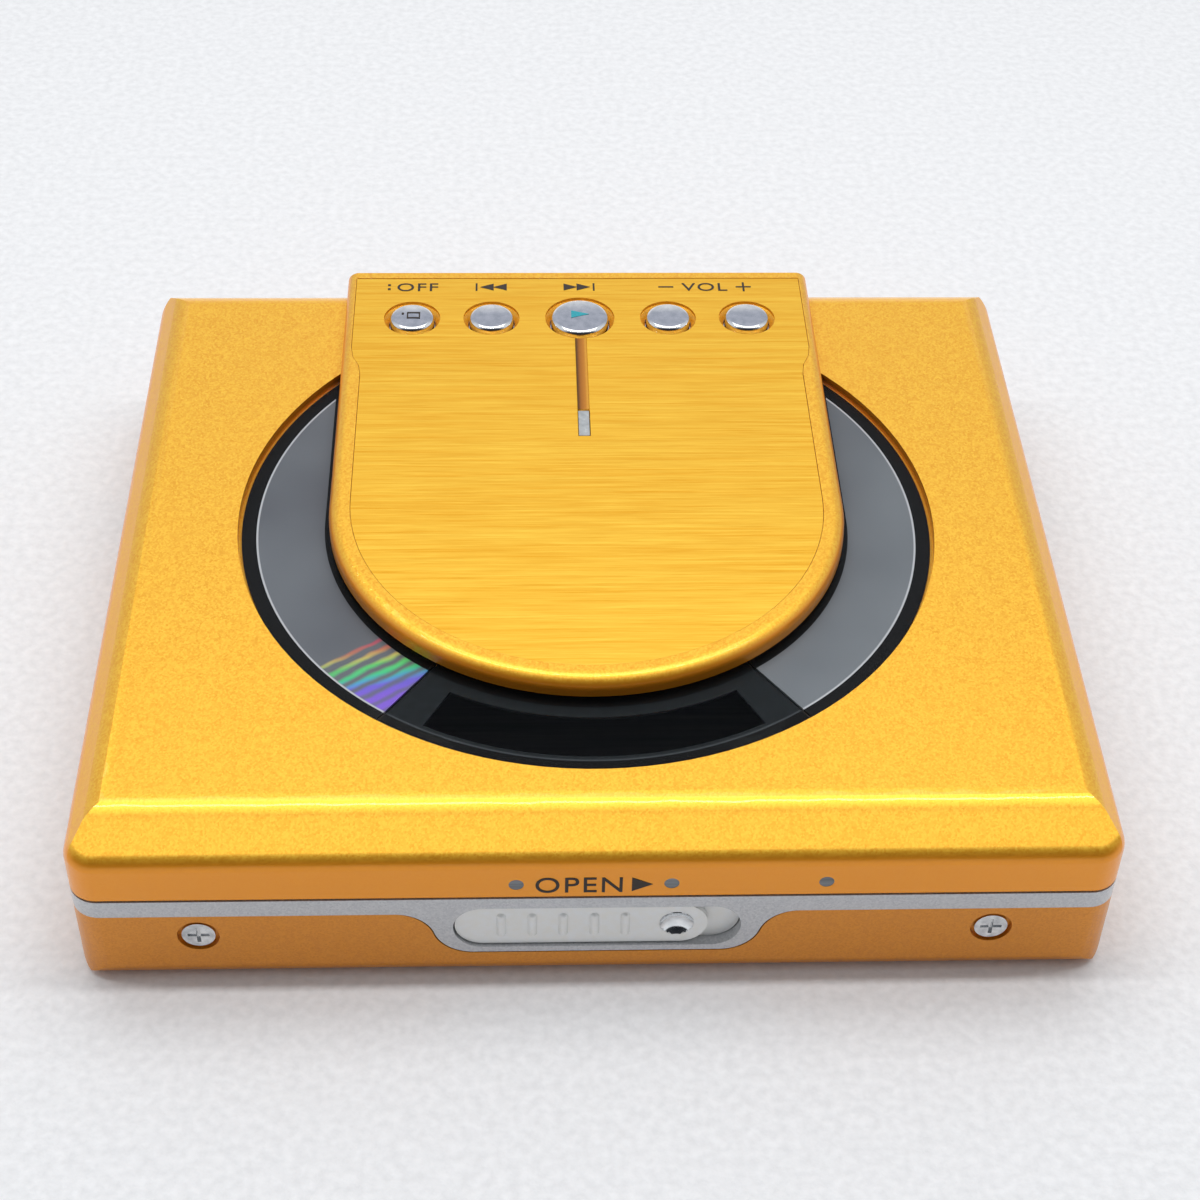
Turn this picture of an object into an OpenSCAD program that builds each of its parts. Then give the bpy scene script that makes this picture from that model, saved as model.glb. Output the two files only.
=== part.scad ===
// Portable minidisc player with a hinged lid, at rest with the lid shut.
// Millimetres. +X is the player's right, -Y its front with the latch, +Z up.
// The origin is at the middle of the base.

/* [Body] */
// Width of the case, left to right
body_w = 84; // [80:0.2:90]
// Depth of the case, front to back
body_d = 75.4; // [74:0.2:82]
// Radius of the case's upright corners
corner_r = 2.4; // [1:0.1:4]
// Radius along the case's lower edges
base_r = 2; // [0.5:0.1:3]
// Wall of the case and the lid
wall = 1.2; // [1:0.1:1.6]
// Thickness of the floor
floor_t = 0.8; // [0.6:0.1:1.2]
// Height of the lower shell's rim, where the silver frame starts
shell_h = 8; // [7.8:0.1:10]
// Height of the silver frame's band
band_h = 1.8; // [1.2:0.1:3]

/* [Lid] */
// Gap between the frame and the lid
seam = 0.25; // [0.15:0.05:0.5]
// Height of the lid's upright sides
lid_side_h = 4.2; // [3:0.1:6]
// Height of the bevel that runs round the lid
lid_bevel_h = 2.4; // [1.5:0.1:3]
// Width of the bevel on the left and right
side_bevel = 2.4; // [1:0.1:4]
// Width of the bevel at the front
front_bevel = 4.2; // [2:0.1:6]
// Width of the bevel at the back
back_bevel = 3.4; // [2:0.1:5]
// Thickness of the lid's top
lid_t = 1.4; // [1.2:0.1:2]
// How far the lid opens, in degrees
lid_open = 60; // [40:1:60]

/* [Window] */
// Radius of the opening in the lid's top
window_r = 31.1; // [29:0.1:32]
// How far behind the middle the window's centre lies
window_y = 1; // [0:0.1:2]
// Width of the ledge that carries the window
window_ledge = 1.5; // [1:0.1:3]
// Thickness of the clear window
window_t = 1; // [0.8:0.1:1.2]
// Thickness of the silver films and the black mask under the window
film_t = 0.2; // [0.1:0.05:0.3]
// Half the angle of the black mask at the front, in degrees
mask_half = 36; // [20:1:50]
// Half the angle of the slot through the mask, in degrees
slot_half = 29; // [10:1:32]

/* [Control panel] */
// Half width of the panel
panel_r = 23; // [21:0.1:25]
// Height of the panel over the lid
panel_rise = 1.8; // [1.4:0.1:3]
// Distance from the panel's back edge to the case's back
panel_back = 1.7; // [1:0.1:4]
// Thickness of the panel's top
panel_t = 1; // [0.8:0.1:1.2]
// Width of the rim round the brushed plate
rim_w = 1.9; // [1:0.1:3]
// Radius along the rim's outer edge
rim_round = 1.1; // [0.4:0.1:1.6]
// Thickness of the brushed plate
plate_t = 0.35; // [0.2:0.05:0.5]
// How far the buttons' row lies behind the middle
button_y = 28.4; // [26:0.1:29]
// Radius of the four small buttons
button_r = 2.15; // [1.5:0.05:2.5]
// Radius of the play button
play_r = 2.8; // [2:0.05:3.2]
// Width of the round recess about each button
recess_w = 0.6; // [0.3:0.05:0.8]
// Distance from the middle to the inner small buttons
button_in = 8.65; // [8:0.05:9.5]
// Distance from the middle to the outer small buttons
button_out = 16.4; // [15.5:0.05:17.5]
// How far a button goes down
button_travel = 0.4; // [0.2:0.05:0.6]

/* [Latch] */
// Width of the latch's slot
slot_w = 23.2; // [20:0.2:24]
// Height of the latch's slot
slot_h = 4.8; // [4:0.1:5]
// Height of the slot's middle above the base
slot_z = 6.2; // [5.8:0.1:6.4]
// Width of the sliding knob
knob_w = 20.4; // [17:0.2:20.6]
// Number of ribs on the knob
knob_ribs = 5; // [3:1:6]
// Distance between the ribs
rib_pitch = 2.5; // [2:0.1:3]

/* [Disc bay] */
// Width of the disc's cartridge
cart_w = 72; // [72:0.1:73]
// Depth of the disc's cartridge
cart_d = 68; // [68:0.1:69]
// How far in front of the window's centre the disc's centre lies
bay_shift = 0.6; // [0.4:0.1:1]
// Thickness of the disc's cartridge
cart_h = 5; // [5:0.1:5.1]
// Free space round the cartridge in its holder
cart_gap = 0.2; // [0.1:0.05:0.3]
// Thickness of the holder's sheet
sheet = 0.4; // [0.3:0.05:0.5]
// Radius of the turntable
turntable_r = 8.5; // [6:0.5:9]
// How far the pickup travels
pickup_travel = 15; // [12:0.5:16]

/* [Hinge] */
// Distance from the back wall's inner face to the hinge's axis
hinge_in = 1.6; // [1.5:0.1:2.2]
// Radius of the hinge pins
pin_r = 0.7; // [0.5:0.05:0.8]
// Radius of the knuckles round the pins
knuckle_r = 1.4; // [1.2:0.05:1.5]

/* [Battery and sockets] */
// Length of the battery
cell_l = 67; // [60:0.5:68]
// Width of the battery
cell_w = 17; // [15:0.1:17]
// Thickness of the battery
cell_h = 5.8; // [5:0.1:5.8]
// Radius of the bore for the headphone plug
phone_r = 1.8; // [1.75:0.01:1.85]
// Radius of the bore for the power plug
power_r = 1.7; // [1.2:0.1:1.9]
// How far the sockets lie behind the middle
socket_y = 20; // [18:0.5:24]

/* [Fits] */
// Free space between a moving piece and its neighbour, a side
slide_gap = 0.12; // [0.08:0.02:0.2]
// Free space between a pin and its bore, on the radius
run_gap = 0.05; // [0.02:0.01:0.08]
// Free space between two fixed pieces
fix_gap = 0.1; // [0.05:0.05:0.2]

/* [Hidden] */
$fn = 64;
e = 0.01;
far = 200;

part_z = shell_h + band_h;
lid_z = part_z + seam;
lid_edge = lid_z + lid_side_h;
lid_top = lid_edge + lid_bevel_h;
lid_under = lid_top - lid_t;
panel_top = lid_top + panel_rise;
front = -body_d / 2;
back = body_d / 2;
side = body_w / 2;

window_seat = lid_top - window_t;
window_gap = fix_gap;
bay_y = window_y - bay_shift;
panel_end = back - panel_back;
plate_r = panel_r - rim_w;

holder_top = lid_under - 0.2;
cart_top = holder_top - sheet - cart_gap;
cart_z = cart_top - cart_h;
holder_z = cart_z - cart_gap - sheet;
holder_side = cart_w / 2 + cart_gap;

hinge_back = wall + hinge_in;
hinge_y = back - hinge_back;
hinge_z = part_z + 0.1;
skirt_z = hinge_z - 1.6;
skirt_half = side - 2.5;
lip_r = sqrt(hinge_back * hinge_back + (hinge_z - skirt_z) * (hinge_z - skirt_z)) + 0.28;
corner_relief = hinge_back / cos(lid_open / 2) + 0.28;
bracket_in = holder_side + sheet + 0.2;
bracket_t = 1.3;
ear_in = bracket_in + bracket_t + 0.2;
ear_out = side - wall - 0.7;

deck_z = 7;
deck_t = 0.8;
deck_half = side - wall - 1.2;
cell_z = floor_t + fix_gap;
cell_y = front + wall + 1.3;
cell_x = -side + wall + 0.5;

knob_gap = slide_gap;
latch_travel = slot_w - knob_w - 2 * knob_gap;
knob_x = -slot_w / 2 + knob_gap;
plate_y = front + wall + 0.33 + slide_gap;
latch_t = 0.6;

flange_top = panel_top - panel_t - slide_gap;
board_top = lid_under + 0.7;
button_x = [-button_out, -button_in, 0, button_in, button_out];

spin_y = bay_y;
rod_y = 10.5;
rod_z = 5.4;
rod_r = 0.6;
screw_y = 13.6;
screw_z = 4.6;
screw_r = 0.9;
sled_x = 10;
sled_l = 9;
lens_x = sled_x + sled_l / 2;
rail_end = sled_x + sled_l + pickup_travel + 1;

// A rectangle with true round corners, centred.
module plan(w, d, r) {
    square([w - 2 * r, d], center = true);
    square([w, d - 2 * r], center = true);
    for (x = [-1, 1], y = [-1, 1])
        translate([x * (w / 2 - r), y * (d / 2 - r)]) circle(r);
}

// A bar with round ends between two heights, lying along X.
module stadium(w, h) {
    square([w - h, h], center = true);
    for (x = [-1, 1]) translate([x * (w - h) / 2, 0]) circle(h / 2);
}

// Turns a flat (y, z) shape into a prism along X.
module along_x(from, to) {
    translate([from, 0, 0]) rotate([90, 0, 90]) linear_extrude(to - from) children();
}

// Turns a flat (x, z) shape into a prism along Y.
module along_y(from, to) {
    translate([0, to, 0]) rotate([90, 0, 0]) linear_extrude(to - from) children();
}

// A box by its two corners.
module span(a, b) {
    translate(a) cube(b - a);
}

// A side of the case with a round lower edge on both ends.
module tub_profile(half, low, high, r) {
    translate([-half, low + r]) square([2 * half, high - low - r]);
    translate([-half + r, low]) square([2 * half - 2 * r, high - low]);
    for (x = [-1, 1]) translate([x * (half - r), low + r]) circle(r);
}

// The lower shell's form, drawn in by a wall when inset is above zero.
module tub(inset, low, high) {
    r = max(base_r - inset, 0.4);
    intersection() {
        translate([0, 0, low - 1]) linear_extrude(high - low + 2)
            plan(body_w - 2 * inset, body_d - 2 * inset, max(corner_r - inset, 0.4));
        along_y(front - 1, back + 1) tub_profile(side - inset, low, high, r);
        along_x(-side - 1, side + 1) tub_profile(back - inset, low, high, r);
    }
}

// The lid's form between two heights, with its four bevels.
module lid_form(inset, low, high) {
    intersection() {
        translate([0, 0, low]) linear_extrude(high - low)
            plan(body_w - 2 * inset, body_d - 2 * inset, max(corner_r - inset, 0.4));
        along_y(front - 1, back + 1) polygon([[-side + inset, low], [side - inset, low],
            [side - inset, lid_edge - inset / 2], [side - side_bevel - inset / 2, lid_top - inset / 2],
            [-side + side_bevel + inset / 2, lid_top - inset / 2], [-side + inset, lid_edge - inset / 2]]);
        along_x(-side - 1, side + 1) polygon([[front + inset, low], [back - inset, low],
            [back - inset, lid_edge - inset / 2], [back - back_bevel - inset / 2, lid_top - inset / 2],
            [front + front_bevel + inset / 2, lid_top - inset / 2], [front + inset, lid_edge - inset / 2]]);
    }
}

// What the lid's back edge sweeps through when it opens, with clearance.
module hinge_relief() {
    intersection() {
        union() {
            along_x(-side - 1, side + 1) translate([hinge_y, hinge_z]) circle(corner_relief);
            along_x(-skirt_half - 0.3, skirt_half + 0.3)
                translate([hinge_y, hinge_z]) circle(lip_r);
        }
        union() {
            span([-side - 1, hinge_y, 0], [side + 1, back + 1, 30]);
            span([-skirt_half - 0.3, hinge_y - 0.9, 0], [skirt_half + 0.3, back + 1, 30]);
        }
    }
}

// The right half of the fascia's outline: two equal arcs that meet on the slope.
function slope(gap) = let (low = slot_z - slot_h / 2 - 0.6 - gap, r = (shell_h - low) / 2 / (1 - cos(slope_turn)))
    concat([for (a = [0:5:slope_turn]) [slope_x + gap + r * sin(slope_turn) - r * sin(a), shell_h - r * (1 - cos(a))]],
        [for (a = [slope_turn - 5:-5:0]) [slope_x + gap - r * sin(slope_turn) + r * sin(a), low + r * (1 - cos(a))]]);

// The shape that drops from the silver frame round the latch.
module fascia_shape(gap) {
    right = slope(gap);
    polygon(concat([[right[0][0], shell_h + e]], right,
        [for (i = [len(right) - 1:-1:0]) [-right[i][0], right[i][1]]], [[-right[0][0], shell_h + e]]));
}

slope_turn = 75;
slope_x = slot_w / 2 + 1.5;
post_x = side - 6;
post_y = cell_y + cell_w + 1.8;
front_screw_x = 32;
rivet_x = [-6.5, 5.8, 18.1];
rivet_z = lid_z + 1.45;
front_screw_z = 5.6;
hold_y = -6;
hold_z = 4.6;
hold_l = 5;
hold_travel = 1.6;
jack_z = floor_t + 0.2 + 3;
door_grip_y = cell_y + cell_w / 2;

// Lower shell
module lower_shell() color("#b9762a") difference() {
    union() {
        difference() {
            tub(0, 0, shell_h);
            tub(wall, floor_t, shell_h + 5);
        }
        for (x = [-1, 1]) translate([x * post_x, hinge_y - 10, floor_t - e]) cylinder(r = 1.45, h = deck_z - floor_t - fix_gap);
        for (x = [-1, 1]) translate([x * post_x, post_y, floor_t - e]) cylinder(r = 1.45, h = deck_z - floor_t - fix_gap);
        span([cell_x, cell_y + cell_w + fix_gap, floor_t - e], [cell_x + cell_l, cell_y + cell_w + 0.8, 4]);
    }
    hinge_relief();
    along_y(front - 1, front + wall + e) fascia_shape(fix_gap);
    for (x = [-1, 1]) translate([x * front_screw_x, front - 1, front_screw_z]) rotate([-90, 0, 0]) {
        cylinder(r = 1.7, h = 1.5);
        cylinder(r = 0.75, h = 4);
    }
    for (x = [-1, 1], y = [post_y, hinge_y - 10]) translate([x * post_x, y, -1]) {
        cylinder(r = 1.5, h = 1.4);
        cylinder(r = 0.6, h = 5);
    }
    span([-side - 1, cell_y - fix_gap, floor_t], [-side + wall + e, cell_y + cell_w + fix_gap, deck_z]);
    span([side - wall - e, hold_y - hold_l / 2 - hold_travel, hold_z - 0.8],
        [side + 1, hold_y + hold_l / 2 + hold_travel, hold_z + 0.8]);
    translate([side + 1, socket_y, jack_z]) rotate([0, -90, 0]) cylinder(r = 2.7, h = wall + 2);
    translate([-side - 1, socket_y, jack_z]) rotate([0, 90, 0]) cylinder(r = 2.7, h = wall + 2);
    translate([0, 9, -1]) linear_extrude(1.15) plan(38, 14, 1);
}

// Silver frame with the latch's fascia
module mid_frame() color("#b5bac0") difference() {
    union() {
        translate([0, 0, shell_h]) linear_extrude(band_h) difference() {
            plan(body_w, body_d, corner_r);
            plan(body_w - 2 * wall, body_d - 2 * wall, corner_r - wall / 2);
        }
        along_y(front, front + wall) fascia_shape(0);
        for (x = [-1, 1]) {
            span([x * front_screw_x - 1.8, front + wall + e, front_screw_z - 1.8],
                [x * front_screw_x + 1.8, front + wall + 1.1, part_z]);
            span([x * front_screw_x - 1.8, front + wall - e, shell_h],
                [x * front_screw_x + 1.8, front + wall + 1.1, part_z]);
        }
        span([-holder_side, hinge_y - 0.9, deck_z + 0.1], [holder_side, back - wall + e, shell_h + 1]);
    }
    hinge_relief();
    along_y(front - 1, front + wall + 1) translate([0, slot_z]) stadium(slot_w, slot_h);
    for (x = [-1, 1]) translate([x * front_screw_x, front - 1, front_screw_z]) rotate([-90, 0, 0])
        cylinder(r = 0.45, h = 6);
}

// Chassis plate that carries the drive
module chassis() color("#8d9296") difference() {
    union() {
        span([-deck_half, cell_y, deck_z], [deck_half, hinge_y - 1.9, deck_z + deck_t]);
        for (x = [-1, 1], y = [-1, 1]) translate([0, spin_y + y * rod_y, 0]) {
            span([x < 0 ? sled_x - 2.2 : rail_end, -1.6, rod_z - 1.4],
                [x < 0 ? sled_x - 1 : rail_end + 1.2, 1.6, deck_z + e]);
        }
        translate([0, spin_y - screw_y, 0]) span([rail_end, -1.35, screw_z - 1.6], [rail_end + 1.2, 1.7, deck_z + e]);
        for (x = [-1, 1]) translate([x * post_x, hinge_y - 10, 0])
            translate([0, 0, deck_z + deck_t - e]) cylinder(r = 1, h = 0.5);
    }
    translate([0, spin_y, deck_z - 1]) cylinder(r = 9.8, h = 3);
    span([0, spin_y - rod_y + 2, deck_z - 1], [rail_end - 1.6, spin_y + rod_y - 2, deck_z + 2]);
    for (x = [-30, -22]) for (y = [-10, 14]) translate([x, y, deck_z - 1]) cylinder(r = 2.4, h = 3);
    for (y = [-1, 1]) translate([sled_x - 3, spin_y + y * rod_y, rod_z]) rotate([0, 90, 0]) cylinder(r = rod_r, h = 40);
    translate([sled_x, spin_y - screw_y, screw_z]) rotate([0, 90, 0]) cylinder(r = 0.5 + run_gap, h = 40);
}

// Brackets that stand on the chassis and carry the hinge pins
module hinge_brackets() color("#8d9296") for (x = [-1, 1]) difference() {
    union() {
        along_x(x > 0 ? bracket_in : -bracket_in - bracket_t, x > 0 ? bracket_in + bracket_t : -bracket_in) {
            translate([hinge_y, hinge_z]) circle(knuckle_r);
            polygon([[hinge_y - 7, deck_z + deck_t], [hinge_y - 1.9, deck_z + deck_t],
                [hinge_y, hinge_z - knuckle_r], [hinge_y, hinge_z + knuckle_r],
                [hinge_y - knuckle_r, hinge_z + 0.2]]);
        }
    }
    along_x(-side, side) translate([hinge_y, hinge_z]) circle(pin_r);
}

// Hinge pins, fast in the brackets
module hinge_pins() color("#c8ccd0") for (x = [-1, 1])
    along_x(x > 0 ? holder_side - 0.15 : -ear_out + 0.3, x > 0 ? ear_out - 0.3 : -holder_side + 0.15)
        translate([hinge_y, hinge_z]) circle(pin_r);

board_z = floor_t + 0.8;
board_t = 0.8;

// Main circuit board
module main_board() color("#1f6b45") difference() {
    span([-deck_half + 1.1, cell_y + cell_w + 1, board_z], [deck_half - 1.1, hinge_y - 2, board_z + board_t]);
    translate([0, spin_y, board_z - 1]) cylinder(r = 9.8, h = 3);
    span([0, spin_y - screw_y - 2.9, board_z - 1], [rail_end + 2, spin_y + rod_y + 2.4, board_z + 2]);
    span([-9, spin_y - screw_y - 2.9, board_z - 1], [1, spin_y - screw_y + 2.4, board_z + 2]);
    for (x = [-1, 1], y = [post_y, hinge_y - 10]) translate([x * post_x, y, board_z - 1]) cylinder(r = 1.8, h = 3);
    for (x = [-1, 1]) span([x > 0 ? side - wall - 13 : -side - 1, socket_y - 3.4, board_z - 1],
        [x > 0 ? side + 1 : -side + wall + 13, socket_y + 3.4, board_z + 2]);
}

// Chips on the board
module board_chips() color("#2a2c2e") {
    z = board_z + board_t;
    span([-30, -8, z], [-20, 2, z + 1.2]);
    span([-30, 8, z], [-18, 15, z + 1.2]);
    span([-8, 17, z], [2, 25, z + 1]);
    span([10, 18, z], [18, 26, z + 1.2]);
    span([-16, 24, z], [-11, 28, z + 1.6]);
    for (x = [-15:2.4:-10]) span([x, -8, z], [x + 1.1, -6.2, z + 0.7]);
    for (x = [-16.5:3:-12]) translate([x, 11, z]) cylinder(r = 1.1, h = 1.8);
}

// Spindle motor under the chassis
module spindle_motor() color("#9a9ea2") difference() {
    union() {
        translate([0, spin_y, 2.6]) cylinder(r = turntable_r, h = 4.2);
        translate([0, spin_y, 6.8 - e]) cylinder(r = 3, h = 0.8);
        translate([0, spin_y, floor_t]) cylinder(r = 5, h = 1.8 + e);
    }
    translate([0, spin_y, 3.4]) cylinder(r = 0.75 + run_gap, h = 8);
}

// Rods that guide the pickup
module guide_rods() color("#c8ccd0") for (y = [-1, 1])
    translate([sled_x - 2.2, spin_y + y * rod_y, rod_z]) rotate([0, 90, 0])
        cylinder(r = rod_r, h = rail_end + 3.4 - sled_x);

// Motor that drives the pickup
module sled_motor() color("#9a9ea2") difference() {
    translate([-7, spin_y - screw_y, screw_z]) rotate([0, 90, 0]) {
        intersection() {
            cylinder(r = 2.3, h = 13);
            translate([-2, -far / 2, 0]) cube([4, far, far]);
        }
        cylinder(r = 1, h = 14);
    }
    translate([0, spin_y - screw_y, screw_z]) rotate([0, 90, 0]) cylinder(r = 0.5 + run_gap, h = 20);
}

// Rechargeable battery
module battery() color("#3d4247") difference() {
    along_x(cell_x, cell_x + cell_l) translate([cell_y + cell_w / 2, cell_z + cell_h / 2]) plan(cell_w, cell_h, 0.5);
    along_x(cell_x + cell_l - 1.2, cell_x + cell_l - 0.4) difference() {
        translate([cell_y + cell_w / 2, cell_z + cell_h / 2]) square([cell_w + 1, cell_h + 1], center = true);
        translate([cell_y + cell_w / 2, cell_z + cell_h / 2]) plan(cell_w - 0.4, cell_h - 0.4, 0.4);
    }
}

// Contacts at the battery's end
module battery_contacts() color("#c9b26a") {
    x = cell_x + cell_l;
    difference() {
        span([x + 1.4, cell_y + 0.5, floor_t], [x + 2.2, cell_y + cell_w - 1, 6.6]);
        translate([x, cell_y + cell_w / 2, 3.8]) rotate([0, 90, 0]) cylinder(r = 1, h = 4);
    }
    for (y = [3.5, cell_w - 4]) translate([x, cell_y + y, 3.8]) rotate([0, 90, 0]) {
        translate([0, 0, 0.1]) cylinder(r = 1.4, h = 0.4);
        cylinder(r = 0.8, h = 1.4 + e);
    }
}

// A socket's block on the side x, with a bore that is open outward.
module socket(x, r, depth) translate([x * side, socket_y, jack_z]) rotate([0, -90 * x, 0]) difference() {
    union() {
        translate([0, 0, 0.2]) cylinder(r = 2.6, h = wall + 1);
        translate([-3, -3.1, wall + 0.3]) cube([6, 6.2, depth + 0.3]);
    }
    translate([0, 0, -1]) cylinder(r = r, h = depth + 1);
}

// Headphone socket
module headphone_jack() color("#232527") socket(1, phone_r, 12);

// Power socket with its centre pin
module power_jack() color("#232527") {
    socket(-1, power_r, 9);
    translate([-side + 1, socket_y, jack_z]) rotate([0, 90, 0]) cylinder(r = 0.45, h = 9);
}

// A cross-head screw standing on its head's face, its shank along -Z.
module screw(head, head_h, shank, length) difference() {
    union() {
        translate([0, 0, -head_h]) cylinder(r = head, h = head_h);
        translate([0, 0, -head_h - length]) cylinder(r = shank, h = length + e);
    }
    for (a = [0, 90]) rotate(a) translate([-head * 0.65, -0.16, -0.3]) cube([head * 1.3, 0.32, 1]);
}

// Screws in the front face
module front_screws() color("#c2c6ca") for (x = [-1, 1])
    translate([x * front_screw_x, front + 0.1, front_screw_z]) rotate([90, 0, 0]) screw(1.35, 0.38, 0.45, 1.6);

// Screws in the base
module base_screws() color("#c2c6ca") for (x = [-1, 1], y = [post_y, hinge_y - 10])
    translate([x * post_x, y, 0.02]) rotate([180, 0, 0]) screw(1.35, 0.36, 0.5, 3.2);

// Battery door in the left side
module battery_door() color("#b9762a") {
    intersection() {
        difference() {
            tub(0, 0, shell_h);
            tub(wall - 0.2, 0.05, shell_h + 5);
            for (i = [-3:3]) span([-side - 1, door_grip_y + i - 0.25, 2.6], [-side + 0.25, door_grip_y + i + 0.25, 5.4]);
        }
        span([-side - 1, cell_y - fix_gap + slide_gap, floor_t + slide_gap],
            [-side + wall, cell_y + cell_w + fix_gap - slide_gap, deck_z - slide_gap]);
    }
}

// A rib of the knob, half sunk in its face: a bar with ball ends.
module rib() {
    translate([0, 0, -1]) cylinder(r = 0.43, h = 2);
    for (z = [-1, 1]) translate([0, 0, z]) sphere(0.43);
}

// Sliding knob of the latch
module latch_knob() color("#c2c6ca") {
    h = slot_h - 2 * knob_gap;
    mid = knob_x + knob_w / 2;
    difference() {
        union() {
            along_y(front + 0.3, front + 0.9) translate([mid, slot_z]) stadium(knob_w, h);
            span([mid - 6, front + 0.9 - e, slot_z - 1.2], [mid + 6, plate_y + e, slot_z + 1.2]);
            for (i = [0:knob_ribs - 1])
                translate([knob_x + 3.75 + i * rib_pitch, front + 0.48, slot_z]) rib();
        }
        translate([knob_x + knob_w - 2.5, front - 1.05, slot_z]) sphere(1.95);
    }
}

hook_x = 15.3;
hook_top = part_z + 0.7;

// Slide behind the front wall, with the hook for the lid
module latch_slide() color("#a9adb1") difference() {
    union() {
        span([-14, plate_y, slot_z - 2], [hook_x + 2.3, plate_y + latch_t, slot_z + 1.6]);
        span([hook_x + 1.3, plate_y, slot_z], [hook_x + 2.3, plate_y + latch_t, hook_top]);
        span([hook_x, plate_y, hook_top - 0.7], [hook_x + 1.3 + e, plate_y + latch_t, hook_top]);
    }
    span([knob_x + knob_w / 2 - 6, plate_y - 1, slot_z - 1.2],
        [knob_x + knob_w / 2 + 6, plate_y + e, slot_z + 1.2]);
}

// Hold switch in the right side
module hold_switch() color("#2b2f31") {
    span([side - 0.9, hold_y - hold_l / 2, hold_z - 0.8 + slide_gap],
        [side - 0.35, hold_y + hold_l / 2, hold_z + 0.8 - slide_gap]);
    for (i = [-1.5:1:1.5])
        span([side - 0.4, hold_y + i - 0.2, hold_z - 0.6], [side - 0.05, hold_y + i + 0.2, hold_z + 0.6]);
    span([side - wall - 0.3, hold_y - 1.2, hold_z - 0.5], [side - 0.9 + e, hold_y + 1.2, hold_z + 0.5]);
    span([side - wall - 0.9, hold_y - hold_l / 2 - 1.6, hold_z - 1.4],
        [side - wall - slide_gap, hold_y + hold_l / 2 + 1.6, hold_z + 1.4]);
}

// Turntable with its shaft
module turntable() color("#b5b9bd") difference() {
    translate([0, spin_y, 0]) {
        translate([0, 0, deck_z + deck_t + 0.2]) cylinder(r = turntable_r, h = cart_z - deck_z - deck_t - 0.35);
        translate([0, 0, 3.6]) cylinder(r = 0.75, h = cart_z - 4);
    }
    translate([0, spin_y, cart_z - 0.55]) cylinder(r = 4.2, h = 3);
    for (a = [0:60:300]) translate([0, spin_y, 0]) rotate(a) translate([6.3, 0, cart_z - 2.4]) cylinder(r = 0.8, h = 4);
}

// Magnet hub in the turntable's middle
module spindle_hub() color("#2f3336") difference() {
    translate([0, spin_y, cart_z - 0.55]) cylinder(r = 4, h = 0.45);
    translate([0, spin_y, cart_z - 0.3]) cylinder(r = 0.9, h = 1);
}

// Sled of the pickup
module pickup_sled() color("#33373a") difference() {
    union() {
        span([sled_x, spin_y - rod_y - 1.5, 4], [sled_x + sled_l, spin_y + rod_y + 1.5, 6.8]);
        span([sled_x + 1, spin_y - 5, 2.6], [sled_x + sled_l - 1, spin_y + 5, 7.6]);
        span([sled_x + 2, spin_y - screw_y - 1.5, 4], [sled_x + 7, spin_y - rod_y, 6.2]);
    }
    for (y = [-1, 1]) translate([0, spin_y + y * rod_y, rod_z]) rotate([0, 90, 0]) cylinder(r = rod_r + run_gap, h = 60);
    translate([0, spin_y - screw_y, screw_z]) rotate([0, 90, 0]) cylinder(r = screw_r + run_gap, h = 60);
    translate([lens_x, spin_y, 6.6]) cylinder(r = 2.6, h = 4);
}

// Lens of the pickup
module pickup_lens() color("#5b7f9c") translate([lens_x, spin_y, 6.6]) {
    cylinder(r = 2.5, h = 0.5);
    intersection() {
        translate([0, 0, -1.2]) sphere(3);
        translate([0, 0, 0.5 - e]) cylinder(r = 2, h = 3);
    }
}

// Lead screw
module lead_screw() color("#c8ccd0") translate([0, spin_y - screw_y, screw_z]) rotate([0, 90, 0]) {
    translate([0, 0, 4]) cylinder(r = 0.5, h = rail_end + 1.2 - 4);
    translate([0, 0, 7.3]) cylinder(r = screw_r, h = rail_end - 7.5);
}

// Sheet holder that takes the cartridge and tilts up with the lid
module cartridge_holder() color("#aeb2b6") difference() {
    y0 = bay_y - cart_d / 2 - cart_gap;
    y1 = bay_y + cart_d / 2 + cart_gap;
    intersection() {
        holder_form(y0, y1);
        lid_form(wall + 0.2, holder_z - 2, holder_top + 1);
    }
    translate([0, bay_y, holder_top - 1]) cylinder(r = window_r - 1, h = 2);
    along_x(-side, side) translate([hinge_y, hinge_z]) circle(pin_r + run_gap);
}

// The folded sheet before its corners are trimmed to the inside of the lid.
module holder_form(y0, y1) {
        span([-holder_side - sheet, y0, holder_top - sheet], [holder_side + sheet, y1 + sheet, holder_top]);
        for (x = [-1, 1]) {
            span([x > 0 ? holder_side : -holder_side - sheet, y0, holder_z],
                [x > 0 ? holder_side + sheet : -holder_side, y1 + sheet, holder_top]);
            span([x > 0 ? holder_side - 3.5 : -holder_side - sheet, y0, holder_z],
                [x > 0 ? holder_side + sheet : -holder_side + 3.5, y1 + sheet, holder_z + sheet]);
            along_x(x > 0 ? holder_side : -holder_side - sheet, x > 0 ? holder_side + sheet : -holder_side)
                translate([hinge_y, hinge_z]) circle(knuckle_r - 0.1);
            span([x > 0 ? holder_side : -holder_side - sheet, y1 - 1, hinge_z - 0.9],
                [x > 0 ? holder_side + sheet : -holder_side, max(hinge_y, y1), hinge_z + 0.9]);
        }
        for (x = [-1, 1]) span([x * 24 - 6, y1, hinge_z + 1], [x * 24 + 6, y1 + sheet, holder_top]);
}

// Plan of the control panel: a half round with straight sides to the back.
module panel_plan(r, end) {
    translate([0, window_y]) circle(r);
    translate([-r, window_y]) square([2 * r, end - window_y]);
}

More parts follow.
